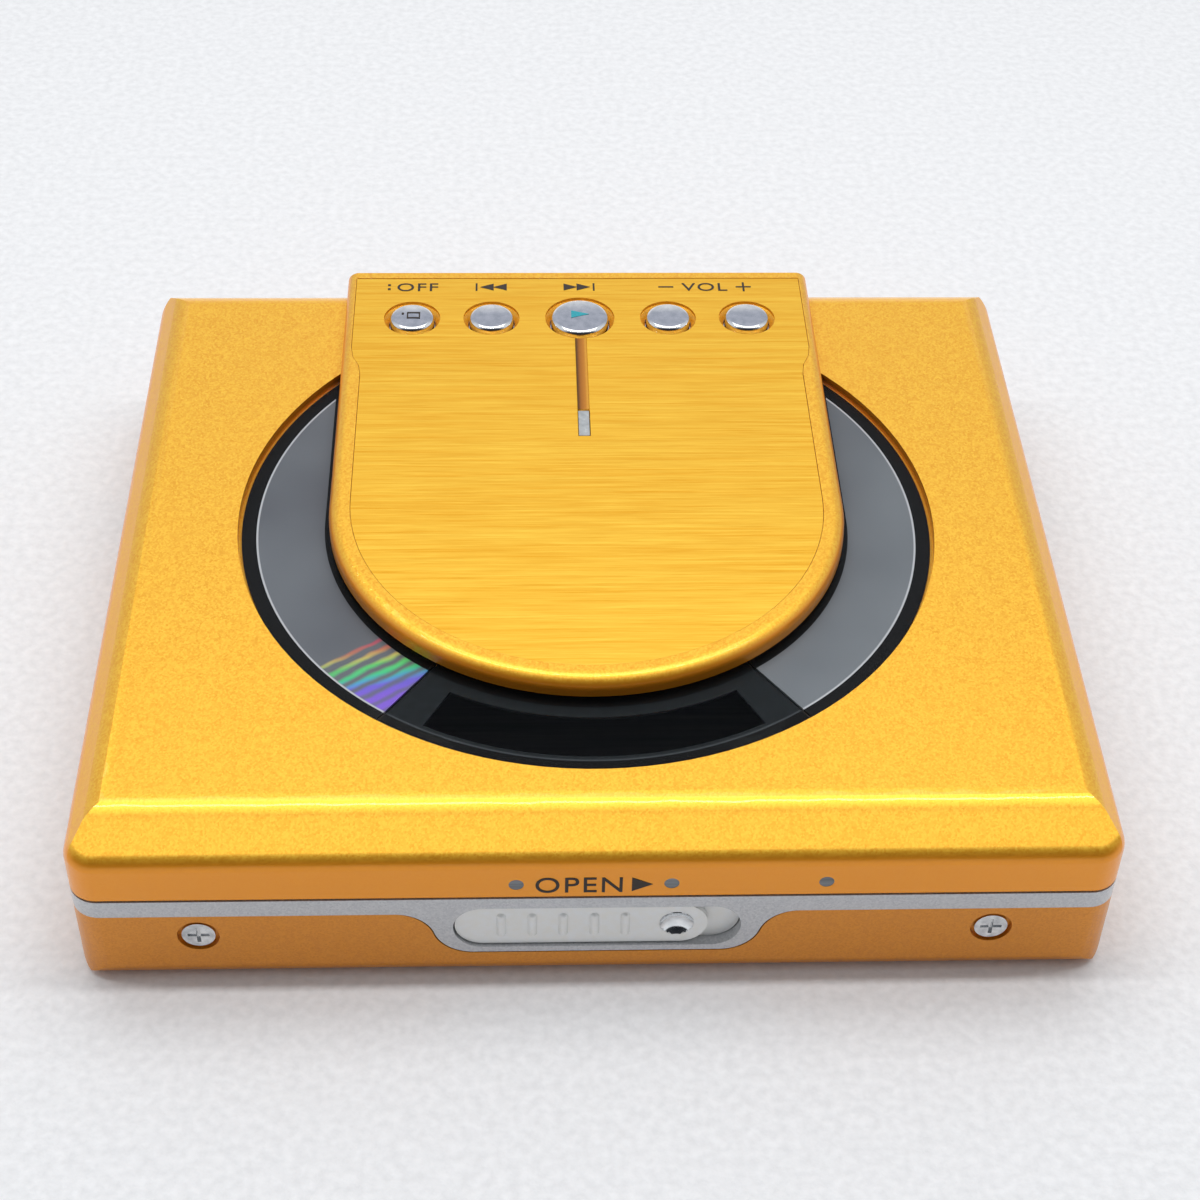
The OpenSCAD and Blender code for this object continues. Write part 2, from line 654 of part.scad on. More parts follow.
// Plan of the brushed plate, a little wider behind the S-shaped step.
module plate_plan(gap) {
    r = plate_r - gap;
    wide = panel_r - 0.9 - gap;
    translate([0, window_y]) circle(r);
    polygon([[-r, window_y], [r, window_y], [r, 19.4], [r + (wide - r) * 0.2, 20.8],
        [wide - (wide - r) * 0.2, 22.2], [wide, 23.6], [wide, panel_end - 0.9 - gap],
        [-wide, panel_end - 0.9 - gap], [-wide, 23.6], [-wide + (wide - r) * 0.2, 22.2],
        [-r - (wide - r) * 0.2, 20.8], [-r, 19.4]]);
}

// The room for the keys' board under the panel
module key_room(gap, low, high) {
    span([-20.2 + gap, 24.8 + gap, low], [20.2 - gap, back - back_bevel - 1.3 - gap, high]);
}

// Lid
module lid_shell() color("#ffb733") difference() {
    union() {
        difference() {
            lid_form(0, lid_z, lid_top);
            intersection() {
                lid_form(wall, lid_z - e, lid_top);
                translate([0, 0, lid_z - 1]) linear_extrude(lid_under - lid_z + 1) square(far, center = true);
            }
        }
        span([-skirt_half, back - wall, skirt_z], [skirt_half, back, lid_z + e]);
    }
    translate([0, window_y, window_seat]) cylinder(r = window_r, h = 10);
    translate([0, window_y, 0]) cylinder(r = window_r - window_ledge, h = 30);
    key_room(0, 0, 30);
    for (x = rivet_x) translate([x, front - 1, rivet_z]) rotate([-90, 0, 0]) cylinder(r = 0.6, h = 3);
}

// What is cut off to round the panel's rim.
module rim_cut() {
    module corner() difference() {
        translate([panel_r - rim_round, panel_top - rim_round]) square(rim_round + 1);
        translate([panel_r - rim_round, panel_top - rim_round]) circle(rim_round);
    }
    translate([0, window_y, 0]) rotate([0, 0, 180]) rotate_extrude(angle = 180) corner();
    for (x = [0, 1]) mirror([x, 0, 0]) along_y(window_y, back + 1) corner();
}

// Raised control panel, standing on the lid's top
module lid_panel() color("#ffb733") difference() {
    union() {
        difference() {
            translate([0, 0, lid_edge]) linear_extrude(panel_top - lid_edge) panel_plan(panel_r, panel_end);
            lid_form(-fix_gap / 2, 0, lid_top);
            translate([0, 0, lid_edge - 1]) linear_extrude(lid_top - lid_edge + 1)
                translate([-far / 2, -far / 2]) square([far, far / 2 + 30]);
        }
        translate([0, 0, lid_top + fix_gap / 2]) linear_extrude(panel_rise - fix_gap / 2) panel_plan(panel_r, 30.5);
    }
    rim_cut();
    translate([0, 0, panel_top - plate_t]) linear_extrude(2) plate_plan(0);
    key_room(0, 0, panel_top - panel_t);
    for (i = [0:4]) translate([button_x[i], button_y, 0]) {
        r = i == 2 ? play_r : button_r;
        cylinder(r = r + slide_gap, h = 40);
        translate([0, 0, panel_top - plate_t - 0.45]) cylinder(r1 = r + slide_gap, r2 = r + recess_w, h = 0.5);
    }
    translate([-0.57, 10.2, panel_top - 1.2]) cube([1.15, 3.8, 3]);
}

// Brushed metal plate
module brushed_plate() color("#ffc93f") difference() {
    translate([0, 0, panel_top - plate_t]) linear_extrude(plate_t - 0.05) plate_plan(fix_gap / 2);
    for (i = [0:4]) translate([button_x[i], button_y, 0])
        cylinder(r = (i == 2 ? play_r : button_r) + recess_w, h = 40);
    translate([-0.57, 10.2, panel_top - 1.2]) cube([1.15, 3.8, 3]);
    translate([-0.57, 10, panel_top - 0.2]) cube([1.15, button_y - 12, 3]);
}

// Clear window
module window() color("#cfd6da", 0.4) difference() {
    translate([0, window_y, 0]) {
        translate([0, 0, window_seat + film_t + 0.05]) cylinder(r = window_r - window_gap, h = window_t - film_t - 0.35);
        translate([0, 0, lid_top - 0.3 - e]) cylinder(r1 = window_r - window_gap, r2 = window_r - 1.1, h = 0.3 + e);
    }
    key_room(-0.4, 0, 30);
    span([-far, 24, 0], [far, far, 30]);
    translate([0, 0, lid_top - 0.25]) linear_extrude(2) panel_plan(panel_r + fix_gap, far);
}

// A film under the window on one side, x being its direction.
module film(x) difference() {
    translate([0, window_y, window_seat]) cylinder(r = window_r - 0.3, h = film_t);
    span([-far, 23.9, 0], [far, far, 30]);
    linear_extrude(30) polygon([[0, window_y + far], [0, window_y],
        [far * sin(mask_half) * x, window_y - far * cos(mask_half)], [-far * x, window_y - far], [-far * x, far]]);
}

// Left silver film
module film_left() color("#8b9095") film(-1);

// Right silver film
module film_right() color("#8b9095") film(1);

// Black mask at the window's front, with its see-through slot
module window_mask() color("#1b1e20") translate([0, 0, window_seat]) linear_extrude(film_t) difference() {
    intersection() {
        translate([0, window_y]) circle(window_r - 0.3);
        polygon([[0, window_y - 0.3], [far * sin(mask_half - 0.2), window_y - far * cos(mask_half - 0.2)],
            [-far * sin(mask_half - 0.2), window_y - far * cos(mask_half - 0.2)]]);
    }
    difference() {
        intersection() {
            translate([0, window_y]) circle(window_r - 2.1);
            polygon([[0, window_y], [far * sin(slot_half), window_y - far * cos(slot_half)],
                [-far * sin(slot_half), window_y - far * cos(slot_half)]]);
        }
        translate([0, window_y]) circle(window_r - 6.5);
    }
}

// Grey lens of the panel's light
module light_lens() color("#a8adb0")
    translate([-0.5, 10.27, panel_top - 1.15]) cube([1, 3.66, 0.95]);

// Small rivets in the lid's front face
module lid_rivets() color("#8e9296") for (x = rivet_x)
    translate([x, front + 0.02, rivet_z]) rotate([-90, 0, 0]) cylinder(r = 0.6, h = 1.6);

// Board with the keys' domes, under the panel
module key_board() color("#1f6b45") {
    key_room(0, board_top - 0.5, board_top);
    for (x = button_x) translate([x, button_y, board_top - e]) cylinder(r = 1.6, h = 0.35);
}

// Ears that hang the lid on the hinge pins
module lid_ears() color("#c98a2e") for (x = [-1, 1]) difference() {
    union() {
        along_x(x > 0 ? ear_in : -ear_out, x > 0 ? ear_out : -ear_in)
            translate([hinge_y, hinge_z]) circle(knuckle_r);
        along_x(x > 0 ? ear_in : -ear_out, x > 0 ? ear_out : -ear_in)
            translate([hinge_y - knuckle_r, hinge_z]) square([knuckle_r + 0.4, lid_edge - hinge_z - 0.8]);
        along_x(x > 0 ? ear_in : wall - side, x > 0 ? side - wall : -ear_in)
            translate([hinge_y - knuckle_r, lid_z + 0.2]) square([knuckle_r + 0.2, lid_edge - lid_z - 1]);
    }
    along_x(-side, side) translate([hinge_y, hinge_z]) circle(pin_r + run_gap);
}

// Catch that hangs from the lid's front wall
module lid_catch() color("#c98a2e") {
    y0 = front + wall + 0.02;
    span([hook_x - 2.4, y0, part_z - 0.7], [hook_x - 1.2, y0 + 1, lid_edge - 1.2]);
    span([hook_x - 1.2 - e, y0, part_z - 0.7], [hook_x - 0.12, y0 + 1, part_z - 0.2]);
}

// One button: a domed cap, a flange under the panel and a stem over its key.
module button(i) translate([button_x[i], button_y, 0]) {
    r = i == 2 ? play_r : button_r;
    low = board_top + 0.35 + button_travel + 0.05;
    translate([0, 0, low]) cylinder(r = 0.7, h = flange_top - low);
    translate([0, 0, flange_top - 0.35]) cylinder(r = r + 0.6, h = 0.35);
    translate([0, 0, flange_top - e]) cylinder(r = r, h = panel_top - 0.15 - flange_top);
    rise = 0.55;
    big = (r * r + rise * rise) / (2 * rise);
    intersection() {
        translate([0, 0, panel_top - 0.15 + rise - big]) sphere(big, $fn = 128);
        translate([0, 0, panel_top - 0.15 - 2 * e]) cylinder(r = r, h = 3);
    }
}

// Stop button
module button_off() color("#cfd3d6") difference() {
    button(0);
    translate([button_x[0] - 0.5, button_y - 0.5, panel_top + 0.25]) cube([1, 1, 1]);
}

// Skip back button
module button_back() color("#cfd3d6") button(1);

// Play button
module button_play() color("#cfd3d6") button(2);

// Skip forward button
module button_next() color("#cfd3d6") button(3);

// Volume button
module button_level() color("#cfd3d6") button(4);

lower_shell();
mid_frame();
chassis();
hinge_brackets();
hinge_pins();
main_board();
board_chips();
spindle_motor();
guide_rods();
sled_motor();
battery();
battery_contacts();
headphone_jack();
power_jack();
front_screws();
base_screws();
battery_door();
latch_knob();
latch_slide();
hold_switch();
turntable();
spindle_hub();
pickup_sled();
pickup_lens();
lead_screw();
cartridge_holder();
lid_shell();
lid_panel();
brushed_plate();
window();
film_left();
film_right();
window_mask();
light_lens();
lid_rivets();
key_board();
lid_ears();
lid_catch();
button_off();
button_back();
button_play();
button_next();
button_level();
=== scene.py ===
# %% [markdown]
# # A pocket disc player in orange-gold
# This lesson dresses a finished CAD model. Each text cell names what a piece or a finish is on
# the real object, how it could be made in Blender, and why one way was chosen.
#
# ## The CAD model
# The model arrives as separate named nodes, measured in metres. Every size and joint in it is
# exact, so new pieces are fitted to it and not the other way round. Sizes below are written in
# millimetres, and MM turns them to metres.

# %% Load the CAD frame
import math

import bmesh
import bpy
from mathutils import Matrix, Vector


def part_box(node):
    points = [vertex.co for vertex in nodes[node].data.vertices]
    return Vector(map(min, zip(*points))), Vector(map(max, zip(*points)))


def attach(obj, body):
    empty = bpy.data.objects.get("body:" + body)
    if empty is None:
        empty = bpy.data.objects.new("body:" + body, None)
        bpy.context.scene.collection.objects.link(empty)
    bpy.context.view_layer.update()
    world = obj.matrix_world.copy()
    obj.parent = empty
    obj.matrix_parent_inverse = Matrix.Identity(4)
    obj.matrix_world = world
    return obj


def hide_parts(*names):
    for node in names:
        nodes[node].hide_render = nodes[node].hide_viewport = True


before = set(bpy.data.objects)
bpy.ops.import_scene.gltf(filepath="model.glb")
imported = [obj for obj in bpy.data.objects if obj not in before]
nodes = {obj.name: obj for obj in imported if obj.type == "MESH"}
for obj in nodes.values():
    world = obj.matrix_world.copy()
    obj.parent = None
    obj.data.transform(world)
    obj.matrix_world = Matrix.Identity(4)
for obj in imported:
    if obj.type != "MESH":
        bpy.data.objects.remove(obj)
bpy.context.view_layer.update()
MM = 0.001
print("CAD nodes:", len(nodes))

# %% [markdown]
# ## The camera
# The photograph looks down at the player from the front. The camera's place was worked out from
# the case's corners, the window's circle and the row of buttons, so the view can be compared
# with the photograph directly. The lens gives a field of view of about 29 degrees.

# %% Camera
CAMERA_PLACE = Vector((-6.251, -154.938, 151.266)) * MM
CAMERA_YAW, CAMERA_PITCH, CAMERA_ROLL = -2.806, -42.911, -1.569
PHOTO_SIZE = 1200
FOCAL_PIXELS = 2294.4
SENSOR = 36.0


def turn(axis, degrees):
    return Matrix.Rotation(math.radians(degrees), 3, axis)


camera_data = bpy.data.cameras.new("photo_camera")
camera_data.sensor_width = SENSOR
camera_data.lens = FOCAL_PIXELS / PHOTO_SIZE * SENSOR
camera_data.clip_start = 0.01
camera = bpy.data.objects.new("photo_camera", camera_data)
bpy.context.collection.objects.link(camera)
look = turn("Z", CAMERA_YAW) @ turn("X", CAMERA_PITCH) @ turn("Y", CAMERA_ROLL)
right, forward, up = look.col
facing = Matrix((right, up, -forward)).transposed().to_4x4()
camera.matrix_world = Matrix.Translation(CAMERA_PLACE) @ facing
bpy.context.scene.camera = camera
print("lens", round(camera_data.lens, 1), "mm")

# %% [markdown]
# ## One way to add a node
# Colours are written as sRGB hex, as a designer notes them, and turned to the linear values
# that shaders expect. One function adds any shader node with its settings, its values and its
# links, and gives back one of its outputs, ready to be linked on. A small helper for each kind
# of node would read shorter but hide which node is meant.


# %% Helpers for materials
def srgb(hex_code):
    channels = [int(hex_code[i:i + 2], 16) / 255 for i in (1, 3, 5)]
    linear = [c / 12.92 if c <= 0.04045 else ((c + 0.055) / 1.055) ** 2.4 for c in channels]
    return (*linear, 1.0)


def set_inputs(tree, node, **inputs):
    """Sets or links a node's sockets; a name such as _1 is the socket's number."""
    for name, value in inputs.items():
        key = int(name[1:]) if name[0] == "_" else name.replace("_", " ")
        if isinstance(value, bpy.types.NodeSocket):
            tree.links.new(value, node.inputs[key])
        else:
            node.inputs[key].default_value = srgb(value) if isinstance(value, str) else value


def add_node(tree, kind, settings=None, stops=(), out=0, **inputs):
    """Adds a node and returns one output. Stops are a colour ramp's places and colours."""
    node = tree.nodes.new("ShaderNode" + kind)
    for name, value in (settings or {}).items():
        setattr(node, name, value)
    for _ in stops[2:]:
        node.color_ramp.elements.new(0.5)
    for number, (position, colour) in enumerate(stops):
        node.color_ramp.elements[number].position = position
        node.color_ramp.elements[number].color = srgb(colour)
    set_inputs(tree, node, **inputs)
    return node.outputs[out] if len(node.outputs) else None


def new_material(name):
    """A material, its tree, its shader, and the Object coordinates in millimetres."""
    material = bpy.data.materials.new(name)
    material.use_nodes = True
    tree = material.node_tree
    place = add_node(tree, "TexCoord", out="Object")
    mm = add_node(tree, "VectorMath", {"operation": "SCALE"}, _0=place, Scale=1 / MM)
    return material, tree, tree.nodes["Principled BSDF"], mm


MULTIPLY_ADD = {"operation": "MULTIPLY_ADD"}
COLOUR_MIX = {"data_type": "RGBA"}
print("orange-gold as linear light:", [round(c, 3) for c in srgb("#F8AC20")[:3]])

# %% [markdown]
# ## Metallic paint
# The shells are sprayed with a metallic lacquer: aluminium flakes in an orange-gold coat under
# a satin clear. The flakes give a fine sparkle, the clear a soft broad highlight. Real flakes
# are about 0.03 mm wide, too fine for the picture, so they are drawn 0.16 mm wide. Upright faces
# are given a deeper orange by a ramp over the face's own direction: this is painted shade, for
# the lamps' light that they mirror less.


# %% Metallic paint
def metallic_paint(name, deep, light, side=None, rough=0.42, metal=0.65, flake_mm=0.16):
    """Flakes of two tones under a clear coat; side is painted shade, a deeper tone for upright
    faces.
    """
    material, tree, shader, mm = new_material(name)
    flakes = add_node(tree, "TexVoronoi", out="Color", Vector=mm, Scale=1 / flake_mm)
    mottle = add_node(tree, "TexNoise", out="Fac", Vector=mm, Scale=0.9, Detail=3.0)
    tone = add_node(tree, "Math", MULTIPLY_ADD, _0=mottle, _1=0.2, _2=flakes)
    colour = add_node(tree, "ValToRGB", stops=[(0.1, deep), (0.9, light)], Fac=tone)
    # Painted shade: the side tone is mixed in on upright faces.
    if side:
        normal = add_node(tree, "TexCoord", out="Normal")
        upward = add_node(tree, "SeparateXYZ", out="Z", Vector=normal)
        amount = add_node(tree, "ValToRGB", stops=[(0.5, "#FFFFFF"), (0.8, "#000000")], Fac=upward)
        colour = add_node(tree, "Mix", COLOUR_MIX, out=2, _0=amount, _6=colour, _7=side)
    spread = add_node(tree, "MapRange", Value=flakes, _3=rough - 0.06, _4=rough + 0.1)
    grain = add_node(tree, "TexNoise", out="Fac", Vector=mm, Scale=5.5)
    ripple = add_node(tree, "TexNoise", out="Fac", Vector=mm, Scale=0.27, Detail=1.0)
    set_inputs(tree, shader, Base_Color=colour, Metallic=metal, Roughness=spread,
               Normal=add_node(tree, "Bump", Height=grain, Strength=0.06, Distance=0.05 * MM),
               Coat_Weight=0.45, Coat_Roughness=0.05,
               Coat_Normal=add_node(tree, "Bump", Height=ripple, Strength=1.0, Distance=0.1 * MM))
    return material


# The side tone of the lid's lacquer is painted shade on its upright faces.
gold_paint = metallic_paint("metallic_gold_lacquer", "#F8AC20", "#FFC93C", side="#F39C1E")
# The base has the lid's lacquer; its darker tones here are painted shade.
shaded_base_paint = metallic_paint("metallic_gold_lacquer_base_shaded", "#D07E10", "#E09222")
silver_paint = metallic_paint("metallic_silver_lacquer", "#B2B4B8", "#CBCCCE", rough=0.34,
                              metal=0.55)
print("lacquers:", gold_paint.name, shaded_base_paint.name, silver_paint.name)

# %% [markdown]
# ## Brushed and rolled metal
# The plate under the buttons is sheet aluminium, brushed along its width and dyed gold. The
# brush leaves hairlines: noise drawn out fifty times along X, used for tone, roughness and a
# slight relief. Real hairlines are some 0.03 mm apart, too fine to show, so they are drawn
# 0.13 mm apart. Rolled steel, turned aluminium and brass have the same kind of lines, a little
# wider.


# %% Brushed metal
def brushed_metal(name, deep, light, line_mm=0.2, rough=0.3):
    material, tree, shader, mm = new_material(name)
    line = add_node(tree, "VectorMath", {"operation": "MULTIPLY"}, _0=mm, _1=(0.02, 1, 1))
    fine = add_node(tree, "TexNoise", out="Fac", Vector=line, Scale=1 / line_mm, Detail=3.0,
                    Roughness=0.65)
    broad = add_node(tree, "TexNoise", out="Fac", Vector=line, Scale=0.35 / line_mm)
    tone = add_node(tree, "Math", MULTIPLY_ADD, _0=broad, _1=0.5, _2=fine)
    spread = add_node(tree, "MapRange", Value=fine, _3=rough - 0.06, _4=rough + 0.14)
    set_inputs(tree, shader, Metallic=0.85, Roughness=spread,
               Base_Color=add_node(tree, "ValToRGB", stops=[(0.45, deep), (1.0, light)], Fac=tone),
               Normal=add_node(tree, "Bump", Height=fine, Strength=0.22, Distance=0.03 * MM))
    return material


gold_plate = brushed_metal("brushed_gold_anodised_aluminium", "#F2AC22", "#FFD24E", 0.13, 0.42)
sheet_steel = brushed_metal("rolled_sheet_steel", "#8B9094", "#A8ADB1", 0.3, 0.32)
turned_disc = brushed_metal("turned_aluminium", "#A9ADB1", "#C9CDD0", rough=0.28)
rivet_steel = brushed_metal("dull_rivet_steel", "#5E6266", "#8A8E92")
brass_strip = brushed_metal("plated_brass_strip", "#B29A55", "#D6C07C")
print("brushed:", gold_plate.name, sheet_steel.name, turned_disc.name, rivet_steel.name)

# %% [markdown]
# ## Plated pieces
# The button caps are chromed plastic, almost a mirror but for a faint haze. Pins and rods are
# ground steel. The latch's knob has a satin plating that is more a pale pearl than a mirror, so
# it is only a little metallic. A soft cloud changes the tone and the haze over a few
# millimetres, as handling does.


# %% Plating
def plated(name, tone, rough, haze=0.03, metal=1.0):
    material, tree, shader, mm = new_material(name)
    cloud = add_node(tree, "TexNoise", out="Fac", Vector=mm, Scale=1.4, Detail=3.0)
    set_inputs(tree, shader, Metallic=metal,
               Base_Color=add_node(tree, "ValToRGB", stops=[(0.3, tone), (0.8, "#F2F4F5")],
                                   Fac=cloud),
               Roughness=add_node(tree, "MapRange", Value=cloud, _3=rough, _4=rough + haze))
    return material


button_chrome = plated("plated_button_chrome", "#D3D7DA", 0.1)
ground_steel = plated("ground_steel", "#B4B8BC", 0.2, 0.08)
satin_knob = plated("satin_plated_knob", "#F0EFEA", 0.28, 0.06, metal=0.12)
print("plated:", button_chrome.name, ground_steel.name, satin_knob.name)

# %% [markdown]
# ## Moulded plastics and inks
# The sockets, the sled and the hold switch are moulded in black with a fine spark-eroded grain
# of about 0.1 mm. The magnet, the battery's sleeve, the grey lens and the printing inks differ
# from it only in tone, gloss and grain, so one function makes them all.


# %% Moulded plastics and inks
def moulded(name, deep, light, rough=0.45, grain_mm=0.12, relief=0.25, coat=0.0):
    material, tree, shader, mm = new_material(name)
    grain = add_node(tree, "TexNoise", out="Fac", Vector=mm, Scale=1 / grain_mm)
    set_inputs(tree, shader, Coat_Weight=coat,
               Base_Color=add_node(tree, "ValToRGB", stops=[(0.3, deep), (0.75, light)], Fac=grain),
               Roughness=add_node(tree, "MapRange", Value=grain, _3=rough - 0.05, _4=rough + 0.1),
               Normal=add_node(tree, "Bump", Height=grain, Strength=relief, Distance=0.02 * MM))
    return material


black_abs = moulded("moulded_black_plastic", "#17191B", "#26292B")
magnet_black = moulded("nickel_plated_magnet", "#2A2D30", "#3C4043", 0.3, 0.2, 0.1)
sleeve = moulded("battery_shrink_sleeve", "#2E3338", "#3B4147", 0.25, 0.6, 0.08, coat=0.5)
grey_lens = moulded("translucent_grey_lens", "#9EA3A6", "#B7BCBE", 0.22, 0.5, 0.05, coat=0.6)
print_ink = moulded("dark_brown_ink", "#241C14", "#33281C", 0.55, 0.2, 0.1)
teal_ink = moulded("teal_ink", "#17919F", "#25A8B4", 0.4, 0.2, 0.1)
print("materials so far:", len(bpy.data.materials))

# %% [markdown]
# ## The circuit board
# The board is green solder mask over copper. The tracks show as a lighter web of lines about
# 0.2 mm wide, as wide as real ones, and the gilt pads as dots about 0.8 mm across. A picture of
# a real board would say more, but would have to be drawn first, and the board is hardly seen.

# %% Circuit board
TRACK_WIDTH, TRACK_LENGTH, TRACK_GAP = 0.12, 3.1, 1.3
PADS_PER_MM = 0.42
board_green, tree, shader, mm = new_material("green_solder_mask")
tracks = add_node(tree, "TexBrick", {"offset": 0.5}, Vector=mm, Scale=1.0, Color1="#1F6E46",
                  Color2="#1A6340", Mortar="#3B8F5E", Mortar_Size=TRACK_WIDTH,
                  Brick_Width=TRACK_LENGTH, Row_Height=TRACK_GAP)
pads = add_node(tree, "TexVoronoi", out="Distance", Vector=mm, Scale=PADS_PER_MM)
dots = add_node(tree, "ValToRGB", stops=[(0.16, "#FFFFFF"), (0.18, "#000000")], Fac=pads)
set_inputs(tree, shader, Roughness=0.35,
           Base_Color=add_node(tree, "Mix", COLOUR_MIX, out=2, _0=dots, _6=tracks, _7="#C8A95E"),
           Normal=add_node(tree, "Bump", Height=tracks.node.outputs["Fac"], Strength=0.3,
                           Distance=0.05 * MM))
print("board tracks every", TRACK_GAP, "mm")

# %% [markdown]
# ## Clear acrylic
# The window is clear moulded acrylic. Refraction through such a thin flat piece hardly shows,
# but it costs many light paths, so the piece is made mostly see-through with Alpha and keeps
# its gloss. The pickup's lens is the same with a bluish coating.


# %% Clear acrylic
def clear_acrylic(name, **coat):
    material, tree, shader, mm = new_material(name)
    dust = add_node(tree, "TexNoise", out="Fac", Vector=mm, Scale=0.9)
    set_inputs(tree, shader, Alpha=0.1, IOR=1.49, Roughness=0.03, Specular_IOR_Level=0.3,
               Base_Color=add_node(tree, "ValToRGB", stops=[(0.3, "#101214"), (0.8, "#1C2023")],
                                   Fac=dust), **coat)
    return material


window_clear = clear_acrylic("clear_acrylic")
lens_glass = clear_acrylic("coated_lens_glass", Coat_Weight=0.6, Coat_Tint="#7FA7FF")
print("clear:", window_clear.name, lens_glass.name)

# %% [markdown]
# ## The films' edges
# Under the window lie two silver films and, at the front, a black one with a see-through slot.
# Round them and beneath the panel's edge the gaps lie in shade, and along the films' outer edge
# the window's bevel shows a thin line of light. The CAD films are plain sectors, so the material
# measures the distance from the window's centre, and from the line that runs back from it under
# the panel. It paints that line on the films as a painted highlight, and blackens what lies
# beyond them as painted shade.

# %% Edges of the films
WINDOW_Y = 1.0
FILM_OUTER, FILM_INNER = 29.5, 23.45
FAR = 1000.0


def distances(tree, mm):
    """The distances in mm from the window's centre and from the line that runs back from it."""
    flat = add_node(tree, "VectorMath", MULTIPLY_ADD, _0=mm, _1=(1, 1, 0), _2=(0, -WINDOW_Y, 0))
    front = add_node(tree, "VectorMath", {"operation": "MINIMUM"}, _0=flat, _1=(FAR, 0, FAR))
    return [add_node(tree, "VectorMath", {"operation": "LENGTH"}, out="Value", _0=place)
            for place in (flat, front)]


def edged(tree, mm, colour, line, edge):
    """The colour, with a painted highlight line at the film's outer edge and painted shade, black,
    beyond its edges.
    """
    outer, inner = distances(tree, mm)
    near = add_node(tree, "MapRange", Value=outer, _1=FILM_OUTER - 0.5, _2=FILM_OUTER + 0.5)
    # Painted highlight: a pale ring along the film's outer edge.
    rim = add_node(tree, "ValToRGB", Fac=near, stops=[(0.3, "#000000"), (0.36, "#FFFFFF"),
                                                      (0.5, "#FFFFFF"), (0.54, "#000000")])
    highlighted = add_node(tree, "Mix", COLOUR_MIX, out=2, _0=rim, _6=colour, _7=line)
    # Painted shade: black beyond the film's outer edge and under the panel's edge.
    beyond = add_node(tree, "Math", {"operation": "GREATER_THAN"}, _0=outer, _1=FILM_OUTER)
    within = add_node(tree, "Math", {"operation": "LESS_THAN"}, _0=inner, _1=FILM_INNER)
    painted_shade_mask = add_node(tree, "Math", {"operation": "MAXIMUM"}, _0=beyond, _1=within)
    return add_node(tree, "Mix", COLOUR_MIX, out=2, _0=painted_shade_mask, _6=highlighted, _7=edge)


print("films from radius", FILM_INNER, "to", FILM_OUTER, "mm")

# %% [markdown]
# ## The rainbow streaks
# Beside the black film the left silver one breaks the light into narrow rainbow streaks, as a
# finely ruled film does. The rulings are far finer than a pixel, so the streaks themselves are
# drawn, 1.12 mm apart. A cosine across them gives the brightness, some noise lets them waver,
# and the hue follows the place on the film. Their colour follows the place and not the camera,
# which is simpler than real diffraction and looks the same from the front.

# %% Streaks
STREAK_ANGLE = math.radians(35.7)
STREAK_PERIOD = 1.12
FIRST_STREAK = 1.06
RAINBOW = [(0.02, "#F2607E"), (0.16, "#F5946E"), (0.28, "#F4E880"), (0.42, "#79F088"),
           (0.58, "#5FEBA4"), (0.7, "#69BDEB"), (0.8, "#8A7DF5"), (1.0, "#9C78F5")]


def streaked(tree, mm, grey):
    """Rainbow streaks over the grey, along the line at STREAK_ANGLE."""
    slant = (math.sin(STREAK_ANGLE), -math.cos(STREAK_ANGLE), 0.0)
    straight = add_node(tree, "VectorMath", {"operation": "DOT_PRODUCT"}, out="Value", _0=mm,
                        _1=slant)
    drift = add_node(tree, "TexNoise", out="Fac", Vector=mm, Scale=0.5, Detail=1.0)
    centred = add_node(tree, "Math", MULTIPLY_ADD, _0=drift, _1=0.5, _2=-0.25)
    across = add_node(tree, "Math", {"operation": "ADD"}, _0=straight, _1=centred)
    turns = math.tau / STREAK_PERIOD
    phase = add_node(tree, "Math", MULTIPLY_ADD, _0=across, _1=turns, _2=-FIRST_STREAK * turns)
    wave = add_node(tree, "Math", {"operation": "COSINE"}, _0=phase)
    growth = add_node(tree, "Math", {"operation": "MULTIPLY"}, _0=across, _1=0.12)
    bright = add_node(tree, "Math", MULTIPLY_ADD, _0=wave, _1=0.55, _2=growth)
    start = add_node(tree, "MapRange", Value=across, _1=0.6, _2=1.0)
    amount = add_node(tree, "Math", {"operation": "MULTIPLY", "use_clamp": True}, _0=bright,
                      _1=start)
    radial = add_node(tree, "MapRange", {"clamp": False}, Value=distances(tree, mm)[0],
                      _1=FILM_INNER, _2=FILM_OUTER, _3=-0.15, _4=0.2)
    hue = add_node(tree, "Math", MULTIPLY_ADD, _0=across, _1=0.13, _2=radial)
    rainbow = add_node(tree, "ValToRGB", stops=RAINBOW, Fac=hue)
    return add_node(tree, "Mix", COLOUR_MIX, out=2, _0=amount, _6=grey, _7=rainbow)


print("streaks every", STREAK_PERIOD, "mm")

# %% [markdown]
# ## Silver and black films
# The silver films are printed, not metal foil: a satin grey with a very slow cloud in it. The
# black print is matt, with a speckle of about half a millimetre.


# %% Films
def film(name, dark, light, streaks=False):
    material, tree, shader, mm = new_material(name)
    cloud = add_node(tree, "TexNoise", out="Fac", Vector=mm, Scale=0.06)
    grey = add_node(tree, "ValToRGB", stops=[(0.3, dark), (0.7, light)], Fac=cloud)
    if streaks:
        grey = streaked(tree, mm, grey)
    # D8DCE0 is the painted highlight line, #0E1011 the painted shade round the films.
    set_inputs(tree, shader, Base_Color=edged(tree, mm, grey, "#D8DCE0", "#0E1011"),
               Metallic=0.3, Roughness=0.5, Specular_IOR_Level=0.2)
    return material


